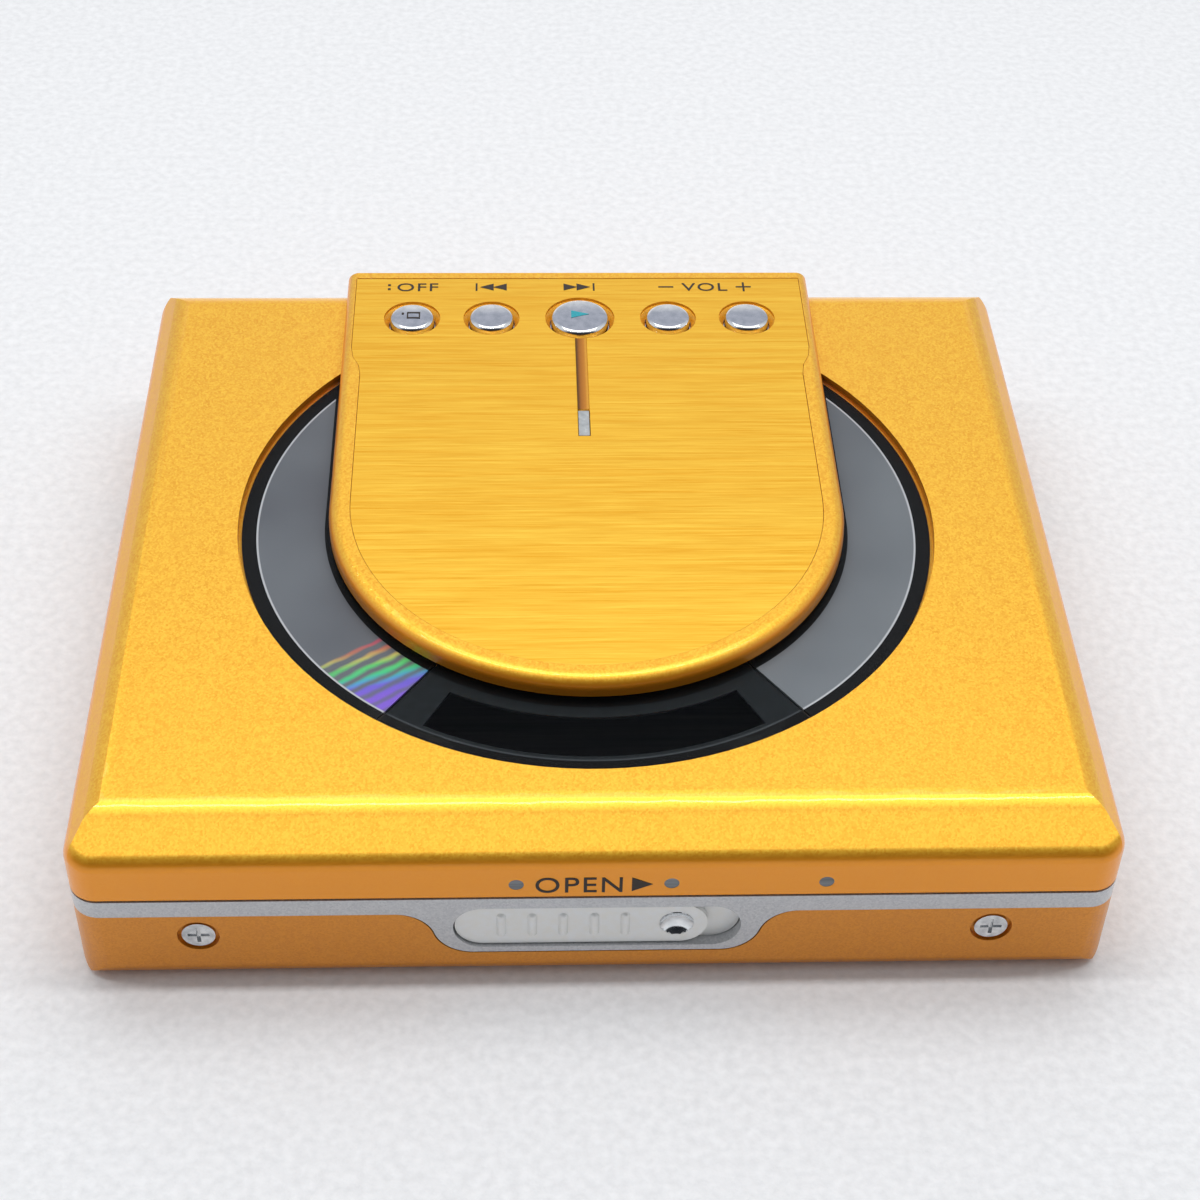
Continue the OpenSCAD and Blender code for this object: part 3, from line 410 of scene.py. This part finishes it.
film_streaked = film("silver_print_with_streaks", "#70747B", "#868C92", streaks=True)
film_plain = film("silver_print", "#7B8187", "#939A9F")
black_print, tree, shader, mm = new_material("black_print")
speck = add_node(tree, "TexNoise", out="Fac", Vector=mm, Scale=1.7)
shade = add_node(tree, "ValToRGB", stops=[(0.3, "#1E2325"), (0.75, "#282E31")], Fac=speck)
# 4A5054 is the painted highlight line, #0C0E0F the painted shade round the film.
set_inputs(tree, shader, Base_Color=edged(tree, mm, shade, "#4A5054", "#0C0E0F"),
           Roughness=0.6, Specular_IOR_Level=0.1)
print("films:", film_streaked.name, film_plain.name, black_print.name)

# %% [markdown]
# ## Giving the CAD nodes their finishes
# A node whose shape is right keeps its mesh and only gets a better material. The list goes by
# finish, since many nodes are made of the same stuff.

# %% Finishes of the CAD nodes
finishes = [
    (sheet_steel, "chassis hinge_brackets spindle_motor sled_motor latch_slide cartridge_holder"),
    (ground_steel, "hinge_pins guide_rods front_screws base_screws lead_screw"),
    (board_green, "main_board key_board"),
    (black_abs, "board_chips headphone_jack power_jack hold_switch pickup_sled"),
    (button_chrome, "button_off button_back button_play button_next button_level"),
    (gold_paint, "lid_ears lid_catch lid_shell lid_panel"),
    (shaded_base_paint, "lower_shell battery_door"),
    (sleeve, "battery"), (brass_strip, "battery_contacts"), (turned_disc, "turntable"),
    (magnet_black, "spindle_hub"), (lens_glass, "pickup_lens"), (gold_plate, "brushed_plate"),
    (window_clear, "window"), (film_streaked, "film_left"), (film_plain, "film_right"),
    (black_print, "window_mask"), (grey_lens, "light_lens"), (rivet_steel, "lid_rivets"),
    (silver_paint, "mid_frame"), (satin_knob, "latch_knob"),
]
dressed = 0
for material, names in finishes:
    for name in names.split():
        if not nodes[name].material_slots:
            nodes[name].data.materials.append(material)
        for slot in nodes[name].material_slots:
            slot.material = material
        dressed += 1
print("dressed", dressed, "of", len(nodes))

# %% [markdown]
# ## Handling pieces
# An operator acts on whatever is selected, so each step first selects just its own piece. A
# finished piece keeps its place in its mesh and its object at the origin. Then it is told which
# body of the player it moves with and which finish slot it belongs to.


# %% Helpers for pieces
def deselect():
    bpy.ops.object.select_all(action="DESELECT")


def activate(piece):
    deselect()
    piece.select_set(True)
    bpy.context.view_layer.objects.active = piece


def apply_modifier(piece, kind, **settings):
    activate(piece)
    modifier = piece.modifiers.new(kind.title(), kind)
    for name, value in settings.items():
        setattr(modifier, name, value)
    bpy.ops.object.modifier_apply(modifier=modifier.name)


def settle(piece, material, body):
    """Puts the place into the mesh, gives the finish, and says what the piece rides on."""
    activate(piece)
    bpy.ops.object.transform_apply(location=True, rotation=True, scale=True)
    piece.data.materials.clear()
    piece.data.materials.append(material)
    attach(piece, body)


deselect()
print("selected:", len(bpy.context.selected_objects))

# %% [markdown]
# ## The lid's wide rounds
# The lid's top slopes down to its sides all round, and both the rim at the top of the slope and
# the one at its foot are pressed to wide rounds. A Bevel modifier has one width for all edges,
# so these two rims are chosen in edit mode by the faces beside them, and each is bevelled by
# its own amount. Loop slide is off, because it pulls the new corners along the neighbouring
# edges and tears the flat top.

# %% Rounding the lid's rims
LEVEL, UPRIGHT = 0.99, 0.1
TOP_SLOPE, SIDE_SLOPE = (0.2, 0.95), (0.4, 0.97)


def beside_rim(tilts, at_top):
    """Whether an edge joins the slope to the top or, if not at_top, to the side."""
    if at_top:
        return tilts[1] > LEVEL and TOP_SLOPE[0] < tilts[0] < TOP_SLOPE[1]
    return abs(tilts[0]) < UPRIGHT and SIDE_SLOPE[0] < tilts[1] < SIDE_SLOPE[1]


def round_ridges(piece, low_mm, widths):
    """Rounds the rim at the top of the slope, then the one at its foot, above low_mm."""
    top = max(vertex.co.z for vertex in piece.data.vertices)
    for at_top, width in zip((True, False), widths):
        floor_z = top - 0.01 * MM if at_top else low_mm * MM
        activate(piece)
        bpy.ops.object.mode_set(mode="EDIT")
        bpy.ops.mesh.select_mode(type="EDGE")
        bpy.ops.mesh.select_all(action="DESELECT")
        form = bmesh.from_edit_mesh(piece.data)
        chosen = 0
        for edge in form.edges:
            if len(edge.link_faces) != 2 or min(v.co.z for v in edge.verts) < floor_z:
                continue
            tilts = sorted(face.normal.z for face in edge.link_faces)
            edge.select_set(beside_rim(tilts, at_top))
            chosen += edge.select
        bmesh.update_edit_mesh(piece.data)
        bpy.ops.mesh.bevel(offset_type="OFFSET", offset=width * MM, segments=6, profile=0.5,
                           affect="EDGES", clamp_overlap=at_top, loop_slide=False)
        bpy.ops.object.mode_set(mode="OBJECT")
        print(piece.name, "rounded", chosen, "edges,", len(piece.data.polygons), "faces")


print("rims with slopes between", TOP_SLOPE, "and", SIDE_SLOPE)

# %% [markdown]
# ## Softened shells
# Pressed and moulded shells have no sharp edges: each edge is a small round that catches a line
# of light. The CAD meshes are exact but sharp, so the visible shells are copied, their doubles
# merged, and a Bevel modifier rounds every edge that turns by more than 18 degrees. Modelling
# them again by hand would only risk the sizes.

# %% Softened shells
EDGE_ANGLE = math.radians(18)
SMOOTH_ANGLE = math.radians(28)


def soften(node, name, width_mm, material, body, ridges=None):
    """A copy of a CAD node with its edges rounded, which stands for the node."""
    source = nodes[node]
    piece = bpy.data.objects.new(name, source.data.copy())
    bpy.context.collection.objects.link(piece)
    piece.matrix_world = source.matrix_world.copy()
    activate(piece)
    bpy.ops.object.mode_set(mode="EDIT")
    bpy.ops.mesh.select_all(action="SELECT")
    bpy.ops.mesh.remove_doubles(threshold=0.002 * MM)
    bpy.ops.mesh.dissolve_limited(angle_limit=math.radians(0.6))
    bpy.ops.object.mode_set(mode="OBJECT")
    if ridges:
        round_ridges(piece, *ridges)
    activate(piece)
    bpy.ops.object.shade_smooth_by_angle(angle=EDGE_ANGLE)
    apply_modifier(piece, "BEVEL", width=width_mm * MM, segments=3, limit_method="ANGLE",
                   angle_limit=EDGE_ANGLE, use_clamp_overlap=True, miter_outer="MITER_ARC")
    activate(piece)
    bpy.ops.object.shade_smooth_by_angle(angle=SMOOTH_ANGLE)
    apply_modifier(piece, "WEIGHTED_NORMAL", weight=90, keep_sharp=True)
    settle(piece, material, body)
    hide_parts(node)
    print(name, len(piece.data.polygons), "faces")


LID_RIDGES = (13.5, (1.1, 0.9))
soften("lid_shell", "lid_cover", 0.15, gold_paint, "lid", ridges=LID_RIDGES)
soften("lower_shell", "base_tub", 0.15, shaded_base_paint, "case")
soften("lid_panel", "control_panel", 0.12, gold_paint, "lid")
soften("mid_frame", "silver_surround", 0.12, silver_paint, "case")
soften("latch_knob", "sliding_knob", 0.1, satin_knob, "latch")

# %% [markdown]
# ## Flat shapes
# Printed marks and small strips are flat outlines with a slight thickness. A filled circle with
# as many corners as the outline is shaped by moving its corners, its parts are joined, and one
# extrusion gives the thickness. A curve object would do it too, but would have to be turned
# into a mesh in the end.

# %% Flat shapes
INK = 0.03


def place_mark(piece, x, y, z, upright):
    piece.location = (x * MM, y * MM, z * MM)
    piece.rotation_euler = (math.pi / 2 if upright else 0, 0, 0)


def flat_part(outline, z):
    """A filled circle whose corners are moved to the outline's."""
    deselect()
    bpy.ops.mesh.primitive_circle_add(vertices=len(outline), radius=MM, fill_type="NGON")
    part = bpy.context.object
    for corner, (px, py) in zip(part.data.vertices, outline):
        corner.co = (px * MM, py * MM, z * MM)
    return part


def shape(name, parts, x, y, z, upright=False, material=print_ink, body="lid",
          thick=INK):
    """Flat outlines in millimetres about a centre, joined and extruded to a thin piece."""
    made = [flat_part(outline, -thick / 2) for outline in parts]
    activate(made[0])
    for part in made[1:]:
        part.select_set(True)
    if len(made) > 1:
        bpy.ops.object.join()
    piece = bpy.context.object
    piece.name = name
    bpy.ops.object.mode_set(mode="EDIT")
    bpy.ops.mesh.select_mode(type="FACE")
    bpy.ops.mesh.select_all(action="SELECT")
    bpy.ops.mesh.extrude_region_move(TRANSFORM_OT_translate={"value": (0, 0, thick * MM)})
    bpy.ops.mesh.select_all(action="SELECT")
    bpy.ops.mesh.normals_make_consistent(inside=False)
    bpy.ops.object.mode_set(mode="OBJECT")
    place_mark(piece, x, y, z, upright)
    settle(piece, material, body)


def bar(x, y, width, height):
    return [(x - width / 2, y - height / 2), (x + width / 2, y - height / 2),
            (x + width / 2, y + height / 2), (x - width / 2, y + height / 2)]


def arrow(x, width, height, way=1):
    return [(x, -height / 2), (x + way * width, 0), (x, height / 2)][::way]


print("ink is", INK, "mm thick")

# %% [markdown]
# ## Words
# Only plain words are printed on the player. Each is a text object in the built-in font, made a
# little wider, and then a mesh. Capitals in that font are 0.7 of its size.

# %% Words
CAPITAL_SHARE = 0.7


def word(text, name, x, y, z, height, stretch, upright=False):
    """A word in capitals of this height, centred on x."""
    deselect()
    bpy.ops.object.text_add()
    letters = bpy.context.object
    letters.name = name
    letters.data.body = text
    letters.data.align_x = "CENTER"
    letters.data.size = height / CAPITAL_SHARE * MM
    letters.data.space_character = 1.12
    letters.data.extrude = INK / 2 * MM
    letters.data.offset = 0.004 * height * MM
    bpy.ops.object.convert(target="MESH")
    piece = bpy.context.object
    piece.scale = (stretch, 1, 1)
    place_mark(piece, x, y, z, upright)
    settle(piece, print_ink, "lid")
    print(name, "is", round(piece.dimensions.x / MM, 2), "mm wide")


# %% [markdown]
# ## Printed marks
# The marks by the buttons and on the lid's front are pad-printed in dark ink, a few hundredths
# of a millimetre thick. They are made as thin pieces and not as a picture on the plate, because
# a picture would blur at this size.

# %% Marks on the panel
MARK_Y, MARK_H = 33.6, 1.3
OFF_X, BACK_X, NEXT_X, LEVEL_X = -16.0, -8.65, 0, 12.57
STROKE = 0.18
panel_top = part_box("brushed_plate")[1][2] / MM
mark_z = panel_top + INK / 2


def skip(name, x, way):
    shape(name, [arrow(-1.5 * way, 1.35, 1.15, way), arrow(-0.2 * way, 1.35, 1.15, way),
                 bar(1.5 * way, 0, STROKE, 1.25)], x, MARK_Y, mark_z)


word("OFF", "mark_off", OFF_X, MARK_Y - MARK_H / 2, mark_z, MARK_H, 1.2)
shape("mark_off_dots", [bar(-2.8, 0.34, 0.28, 0.28), bar(-2.8, -0.34, 0.28, 0.28)],
      OFF_X, MARK_Y, mark_z)
skip("mark_back", BACK_X, -1)
skip("mark_next", NEXT_X, 1)
word("VOL", "mark_level", LEVEL_X, MARK_Y - MARK_H / 2, mark_z, MARK_H, 1.2)
shape("mark_minus", [bar(0, 0, 1.5, STROKE)], LEVEL_X - 3.87, MARK_Y, mark_z)
shape("mark_plus", [bar(0, 0, 1.5, STROKE), bar(0, 0.42, 0.2, 0.66), bar(0, -0.42, 0.2, 0.66)],
      LEVEL_X + 3.88, MARK_Y, mark_z)

# %% Marks on the lid's front
OPEN_Z, OPEN_H = 11.45, 1.8
front_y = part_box("lid_shell")[0][1] / MM
word("OPEN", "mark_open", -1.5, front_y - INK / 2, OPEN_Z - OPEN_H / 2, OPEN_H, 1.0, True)
shape("mark_open_arrow", [arrow(-0.83, 1.66, 1.65)], 3.47, front_y - INK / 2, OPEN_Z, True)

# %% [markdown]
# ## Button caps
# The caps are turned forms: a stem over the key, a flange that keeps the cap in the panel, a
# straight side, a small round at the edge and a nearly flat top. A filled circle is extruded
# and scaled step by step, which keeps every step exact. A subdivided cylinder would have
# needed support loops at each of them.

# %% Cap profile
STEM_R = 0.7
FLANGE_WIDTH, FLANGE_THICK, FLANGE_DEPTH = 0.6, 0.35, 1.07
EDGE_ROUND, EDGE_STEPS = 0.42, 8
CROWN, CROWN_STEPS = 0.1, 6
BELOW_KEY = 0.06


def cap_profile(radius, top):
    """Radius and height at each step, from the stem up to the crown."""
    flange = panel_top - FLANGE_DEPTH
    wide, shoulder = radius + FLANGE_WIDTH, top - CROWN - EDGE_ROUND
    steps = [(STEM_R, flange - FLANGE_THICK), (wide, flange - FLANGE_THICK), (wide, flange),
             (radius, flange), (radius, shoulder)]
    for step in range(1, EDGE_STEPS + 1):
        angle = math.pi / 2 * step / EDGE_STEPS
        steps.append((radius - EDGE_ROUND * (1 - math.cos(angle)),
                      shoulder + EDGE_ROUND * math.sin(angle)))
    for step in range(1, CROWN_STEPS):
        share = 1 - step / CROWN_STEPS
        steps.append(((radius - EDGE_ROUND) * share, top - CROWN * share ** 2))
    return steps


print("a cap takes", len(cap_profile(2.0, panel_top)), "steps")


# %% Caps
def cap(node, name, radius, body):
    """A turned cap over a key, which stands for the key's node."""
    low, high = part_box(node)
    x, y = (low[0] + high[0]) / 2, (low[1] + high[1]) / 2
    top = high[2] / MM - BELOW_KEY
    old_r, old_z = STEM_R, low[2] / MM
    deselect()
    bpy.ops.mesh.primitive_circle_add(vertices=64, radius=STEM_R * MM, fill_type="NGON",
                                      location=(x, y, old_z * MM))
    piece = bpy.context.object
    piece.name = name
    bpy.ops.object.mode_set(mode="EDIT")
    bpy.ops.mesh.select_mode(type="FACE")
    bpy.ops.mesh.select_all(action="SELECT")
    for r, z in cap_profile(radius, top):
        rise = {"value": (0, 0, (z - old_z) * MM)}
        bpy.ops.mesh.extrude_region_move(TRANSFORM_OT_translate=rise)
        bpy.ops.transform.resize(value=(r / old_r, r / old_r, 1), center_override=(x, y, z * MM))
        old_r, old_z = r, z
    bpy.ops.mesh.select_all(action="SELECT")
    bpy.ops.mesh.normals_make_consistent(inside=False)
    bpy.ops.object.mode_set(mode="OBJECT")
    bpy.ops.object.shade_smooth_by_angle(angle=math.radians(25))
    settle(piece, button_chrome, body)
    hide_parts(node)
    print(name, "diameter", round(piece.dimensions.x / MM, 2), "mm, top at", round(top, 2), "mm")
    return x / MM, y / MM, top


SMALL, LARGE = 2.15, 2.8
stop_x, stop_y, stop_top = cap("button_off", "cap_stop", SMALL, "button_off_key")
cap("button_back", "cap_back", SMALL, "button_back_key")
play_x, play_y, play_top = cap("button_play", "cap_play", LARGE, "button_play_key")
cap("button_next", "cap_next", SMALL, "button_next_key")
cap("button_level", "cap_level", SMALL, "button_level_key")

# %% [markdown]
# ## Marks on the caps
# The play sign is teal and the stop sign dark. The caps' tops are slightly domed, so these two
# marks are thicker and sit a little into the cap, and no corner stands free of it.

# %% Marks on the caps
CAP_INK, CAP_SINK = 0.08, 0.015
shape("mark_play", [arrow(-0.85, 1.75, 1.2)], play_x, play_y + 0.1, play_top - CAP_SINK,
      material=teal_ink, body="button_play_key", thick=CAP_INK)
shape("mark_stop", [bar(0.15, 0.42, 1.3, STROKE), bar(0.15, -0.42, 1.3, STROKE),
                    bar(-0.43, 0, 0.14, 0.7), bar(0.73, 0, 0.14, 0.7), bar(-0.9, 0.3, 0.22, 0.22)],
      stop_x, stop_y, stop_top - CAP_SINK, body="button_off_key", thick=CAP_INK)
print("play sign at", round(play_x, 2), round(play_y, 2), "stop at", round(stop_x, 2))

# %% [markdown]
# ## The light groove
# A narrow rounded groove runs from the play button to the grey lens of the panel's light. Its
# bottom is a thin half-round trough laid into the CAD groove. Its own finish goes from brown on
# the left to gold on the right, because the groove is too narrow for the soft lamps to shade it
# as much as the photograph shows.

# %% Finish of the groove
TROUGH_HALF = 0.53
groove_gold, tree, shader, mm = new_material("shaded_gold_groove")
across = add_node(tree, "SeparateXYZ", out="X", Vector=mm)
side = add_node(tree, "MapRange", Value=across, _1=-0.5, _2=0.5, _3=-0.05, _4=0.95)
scratch = add_node(tree, "TexNoise", out="Fac", Vector=mm, Scale=3.0)
tone = add_node(tree, "Math", MULTIPLY_ADD, _0=scratch, _1=0.1, _2=side)
shades = [(0.08, "#6B4518"), (0.3, "#A8661C"), (0.75, "#C98328"), (0.95, "#E8A838")]
set_inputs(tree, shader, Base_Color=add_node(tree, "ValToRGB", stops=shades, Fac=tone),
           Metallic=0.5, Roughness=0.45)
print("groove", 2 * TROUGH_HALF, "mm wide")

# %% Groove
GROOVE_FRONT, GROOVE_BACK = 14.1, 25.2
TROUGH_TOP, TROUGH_DEPTH, TROUGH_BASE = -0.01, 0.11, -0.14


def arc(centre, radii, start, end, count):
    """Points on an ellipse's arc between two angles, in count steps."""
    angles = [math.radians(start + (end - start) * i / count) for i in range(count + 1)]
    return [(centre[0] + radii[0] * math.cos(a), centre[1] + radii[1] * math.sin(a))
            for a in angles]


trough = arc((0, TROUGH_TOP), (TROUGH_HALF, -TROUGH_DEPTH), 0, 180, 12)
trough += [(-TROUGH_HALF, TROUGH_BASE), (TROUGH_HALF, TROUGH_BASE)]
shape("panel_groove", [trough], 0, (GROOVE_FRONT + GROOVE_BACK) / 2, panel_top, True,
      groove_gold, "lid", GROOVE_BACK - GROOVE_FRONT)
print("groove from", GROOVE_FRONT, "to", GROOVE_BACK, "mm")

# %% [markdown]
# ## Painted shade under the films' joins
# Where the black film meets the silver ones, a hair's width is left open, and the gold seat
# under them would shine through it. A short black strip under each join hides it: painted
# shade, standing for the shade down in the narrow gap.

# %% Painted shade under the joins
MASK_HALF = math.radians(36)
GAP_SHADE_RADII, GAP_SHADE_HALF, GAP_SHADE_THICK = (29.4, 31.0), 0.5, 0.04
seat_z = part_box("window_mask")[0][2] / MM
ahead = Vector((math.sin(MASK_HALF), -math.cos(MASK_HALF)))
aside = Vector((math.cos(MASK_HALF), math.sin(MASK_HALF)))
near, far = GAP_SHADE_RADII
corners = [ahead * r + aside * n for r, n in [(near, -GAP_SHADE_HALF), (far, -GAP_SHADE_HALF),
                                              (far, GAP_SHADE_HALF), (near, GAP_SHADE_HALF)]]
# Painted shade: a black strip under each join of the films.
for name, way in (("seat_gap_shade_left", -1), ("seat_gap_shade_right", 1)):
    gap_shade = [(way * place.x, WINDOW_Y + place.y) for place in corners][::way]
    shape(name, [gap_shade], 0, 0, seat_z, thick=GAP_SHADE_THICK)
print("tape at", round(seat_z, 2), "mm")

# %% [markdown]
# ## The slot's floor
# Behind the knob's right end the slot in the frame has a silver floor with a round end. It is a
# plain strip, half hidden by the knob, that shows when the knob slides.

# %% Slot floor
SLOT_R = 2.38
FLOOR_LEFT, FLOOR_RIGHT = -1.6, 2.6
FLOOR_DEPTH, FLOOR_THICK = 1.06, 0.2
knob_low, knob_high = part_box("latch_knob")
slot_z = (knob_low[2] + knob_high[2]) / 2 / MM
knob_end = knob_high[0] / MM
rounded = arc((FLOOR_RIGHT - SLOT_R, 0), (SLOT_R, SLOT_R), -90, 90, 24)
shape("slot_floor", [[(FLOOR_LEFT, -SLOT_R)] + rounded + [(FLOOR_LEFT, SLOT_R)]], knob_end,
      front_y + FLOOR_DEPTH, slot_z, True, satin_knob, "case", FLOOR_THICK)
print("knob ends at", round(knob_end, 2), "mm")

# %% [markdown]
# ## The chrome dish in the knob
# A plated cup is let into the knob's right end, for a fingernail. It is the back of a sphere:
# the rest is cut away by a plane, and Solidify gives the cup its wall.

# %% Dish in the knob
DISH_R, DISH_WALL = 1.88, 0.05
DISH_FROM_END, DISH_AHEAD, DISH_MOUTH = 2.5, 1.05, 0.28
deselect()
bpy.ops.mesh.primitive_uv_sphere_add(
    segments=48, ring_count=24, radius=DISH_R * MM,
    location=((knob_end - DISH_FROM_END) * MM, (front_y - DISH_AHEAD) * MM, slot_z * MM))
dish = bpy.context.object
dish.name = "knob_dish"
bpy.ops.object.mode_set(mode="EDIT")
bpy.ops.mesh.select_all(action="SELECT")
bpy.ops.mesh.bisect(plane_co=(0, (front_y + DISH_MOUTH) * MM, 0), plane_no=(0, 1, 0),
                    clear_inner=True)
bpy.ops.object.mode_set(mode="OBJECT")
apply_modifier(dish, "SOLIDIFY", thickness=DISH_WALL * MM, offset=1)
activate(dish)
bpy.ops.object.shade_smooth_by_angle(angle=math.radians(40))
settle(dish, button_chrome, "latch")
print("dish", round(dish.dimensions.x / MM, 2), "mm wide")

# %% [markdown]
# ## The floor
# The photograph was taken on white cloth. Its threads are too fine for the picture, so a soft
# mottle about 1 mm wide stands for the weave.

# %% Floor
deselect()
bpy.ops.mesh.primitive_plane_add(size=4, location=(0, 0, 0))
floor = bpy.context.object
floor.name = "studio_floor"
cloth, tree, shader, mm = new_material("white_cloth")
weave = add_node(tree, "TexNoise", out="Fac", Vector=mm, Scale=1.1, Detail=3.0)
set_inputs(tree, shader, Roughness=0.9,
           Base_Color=add_node(tree, "ValToRGB", stops=[(0.3, "#E3E4E6"), (0.7, "#EFF0F2")],
                               Fac=weave),
           Normal=add_node(tree, "Bump", Height=weave, Strength=0.3, Distance=0.3 * MM))
floor.data.materials.append(cloth)
print("floor", floor.dimensions.x, "m wide")

# %% [markdown]
# ## Lamps
# The light in the photograph is flat, with a thin bright line along the lid's front ridge. A
# soft key above and behind the player gives the gentle shadow at its front, and a long narrow
# tube straight above it gives the line. Sharper lamps would burn out the gold.


# %% Lamps
def lamp(name, place, aim, size, size_y, power):
    data = bpy.data.lights.new(name, "AREA")
    data.shape = "RECTANGLE"
    data.size, data.size_y, data.energy = size, size_y, power
    made = bpy.data.objects.new(name, data)
    bpy.context.collection.objects.link(made)
    made.location = place
    made.rotation_euler = (Vector(aim) - Vector(place)).to_track_quat("-Z", "Y").to_euler()
    print(name, size, "by", size_y, "m,", power, "W")


lamp("key", (0.0, 0.2, 0.56), (0, 0, 0), 0.5, 0.22, 0.8)
lamp("tube", (0.0, 0.0, 0.5), (0, -0.03, 0), 0.8, 0.03, 1.2)

# %% [markdown]
# ## The room
# Shiny pieces show what surrounds them. The world is therefore a plain room for mirrored rays,
# dark at the front and pale at the back as on a photographer's table, a softer version of it as
# the even light on everything, and a near-white backdrop for the camera itself.

# %% World
ROOM = [(0.0, "#1E2024"), (0.18, "#3C3E42"), (0.32, "#D6D8DB"), (0.5, "#F0F1F3"),
        (0.72, "#CDD0D6"), (0.81, "#B4B7C4"), (0.92, "#B4B7C4"), (0.97, "#FFFFFF")]
SOFT_ROOM = [(0.0, "#77797D"), (0.5, "#D4D6D9"), (1.0, "#FFFFFF")]
scene = bpy.context.scene
scene.view_settings.view_transform = "Standard"
world = scene.world or bpy.data.worlds.new("studio")
scene.world = world
world.use_nodes = True
tree = world.node_tree
tree.nodes.clear()
rays = add_node(tree, "LightPath").node.outputs
reflected = add_node(tree, "Math", {"operation": "MAXIMUM"}, _0=rays["Is Glossy Ray"],
                     _1=rays["Is Transmission Ray"])
direction = add_node(tree, "TexCoord", out="Generated")
front_to_back = add_node(tree, "SeparateXYZ", out="Y", Vector=direction)
depth = add_node(tree, "MapRange", Value=front_to_back, _1=-1.0, _2=1.0)
room = add_node(tree, "ValToRGB", stops=ROOM, Fac=depth)
soft_room = add_node(tree, "ValToRGB", stops=SOFT_ROOM, Fac=depth)
ambient = add_node(tree, "Background", Color=soft_room, Strength=0.85)
mirrored = add_node(tree, "Background", Color=room, Strength=1.0)
backdrop = add_node(tree, "Background", Color="#F4F6FA", Strength=1.0)
lit = add_node(tree, "MixShader", _0=reflected, _1=ambient, _2=mirrored)
seen = add_node(tree, "MixShader", _0=rays["Is Camera Ray"], _1=lit, _2=backdrop)
add_node(tree, "OutputWorld", Surface=seen)
print("world nodes:", len(tree.nodes))
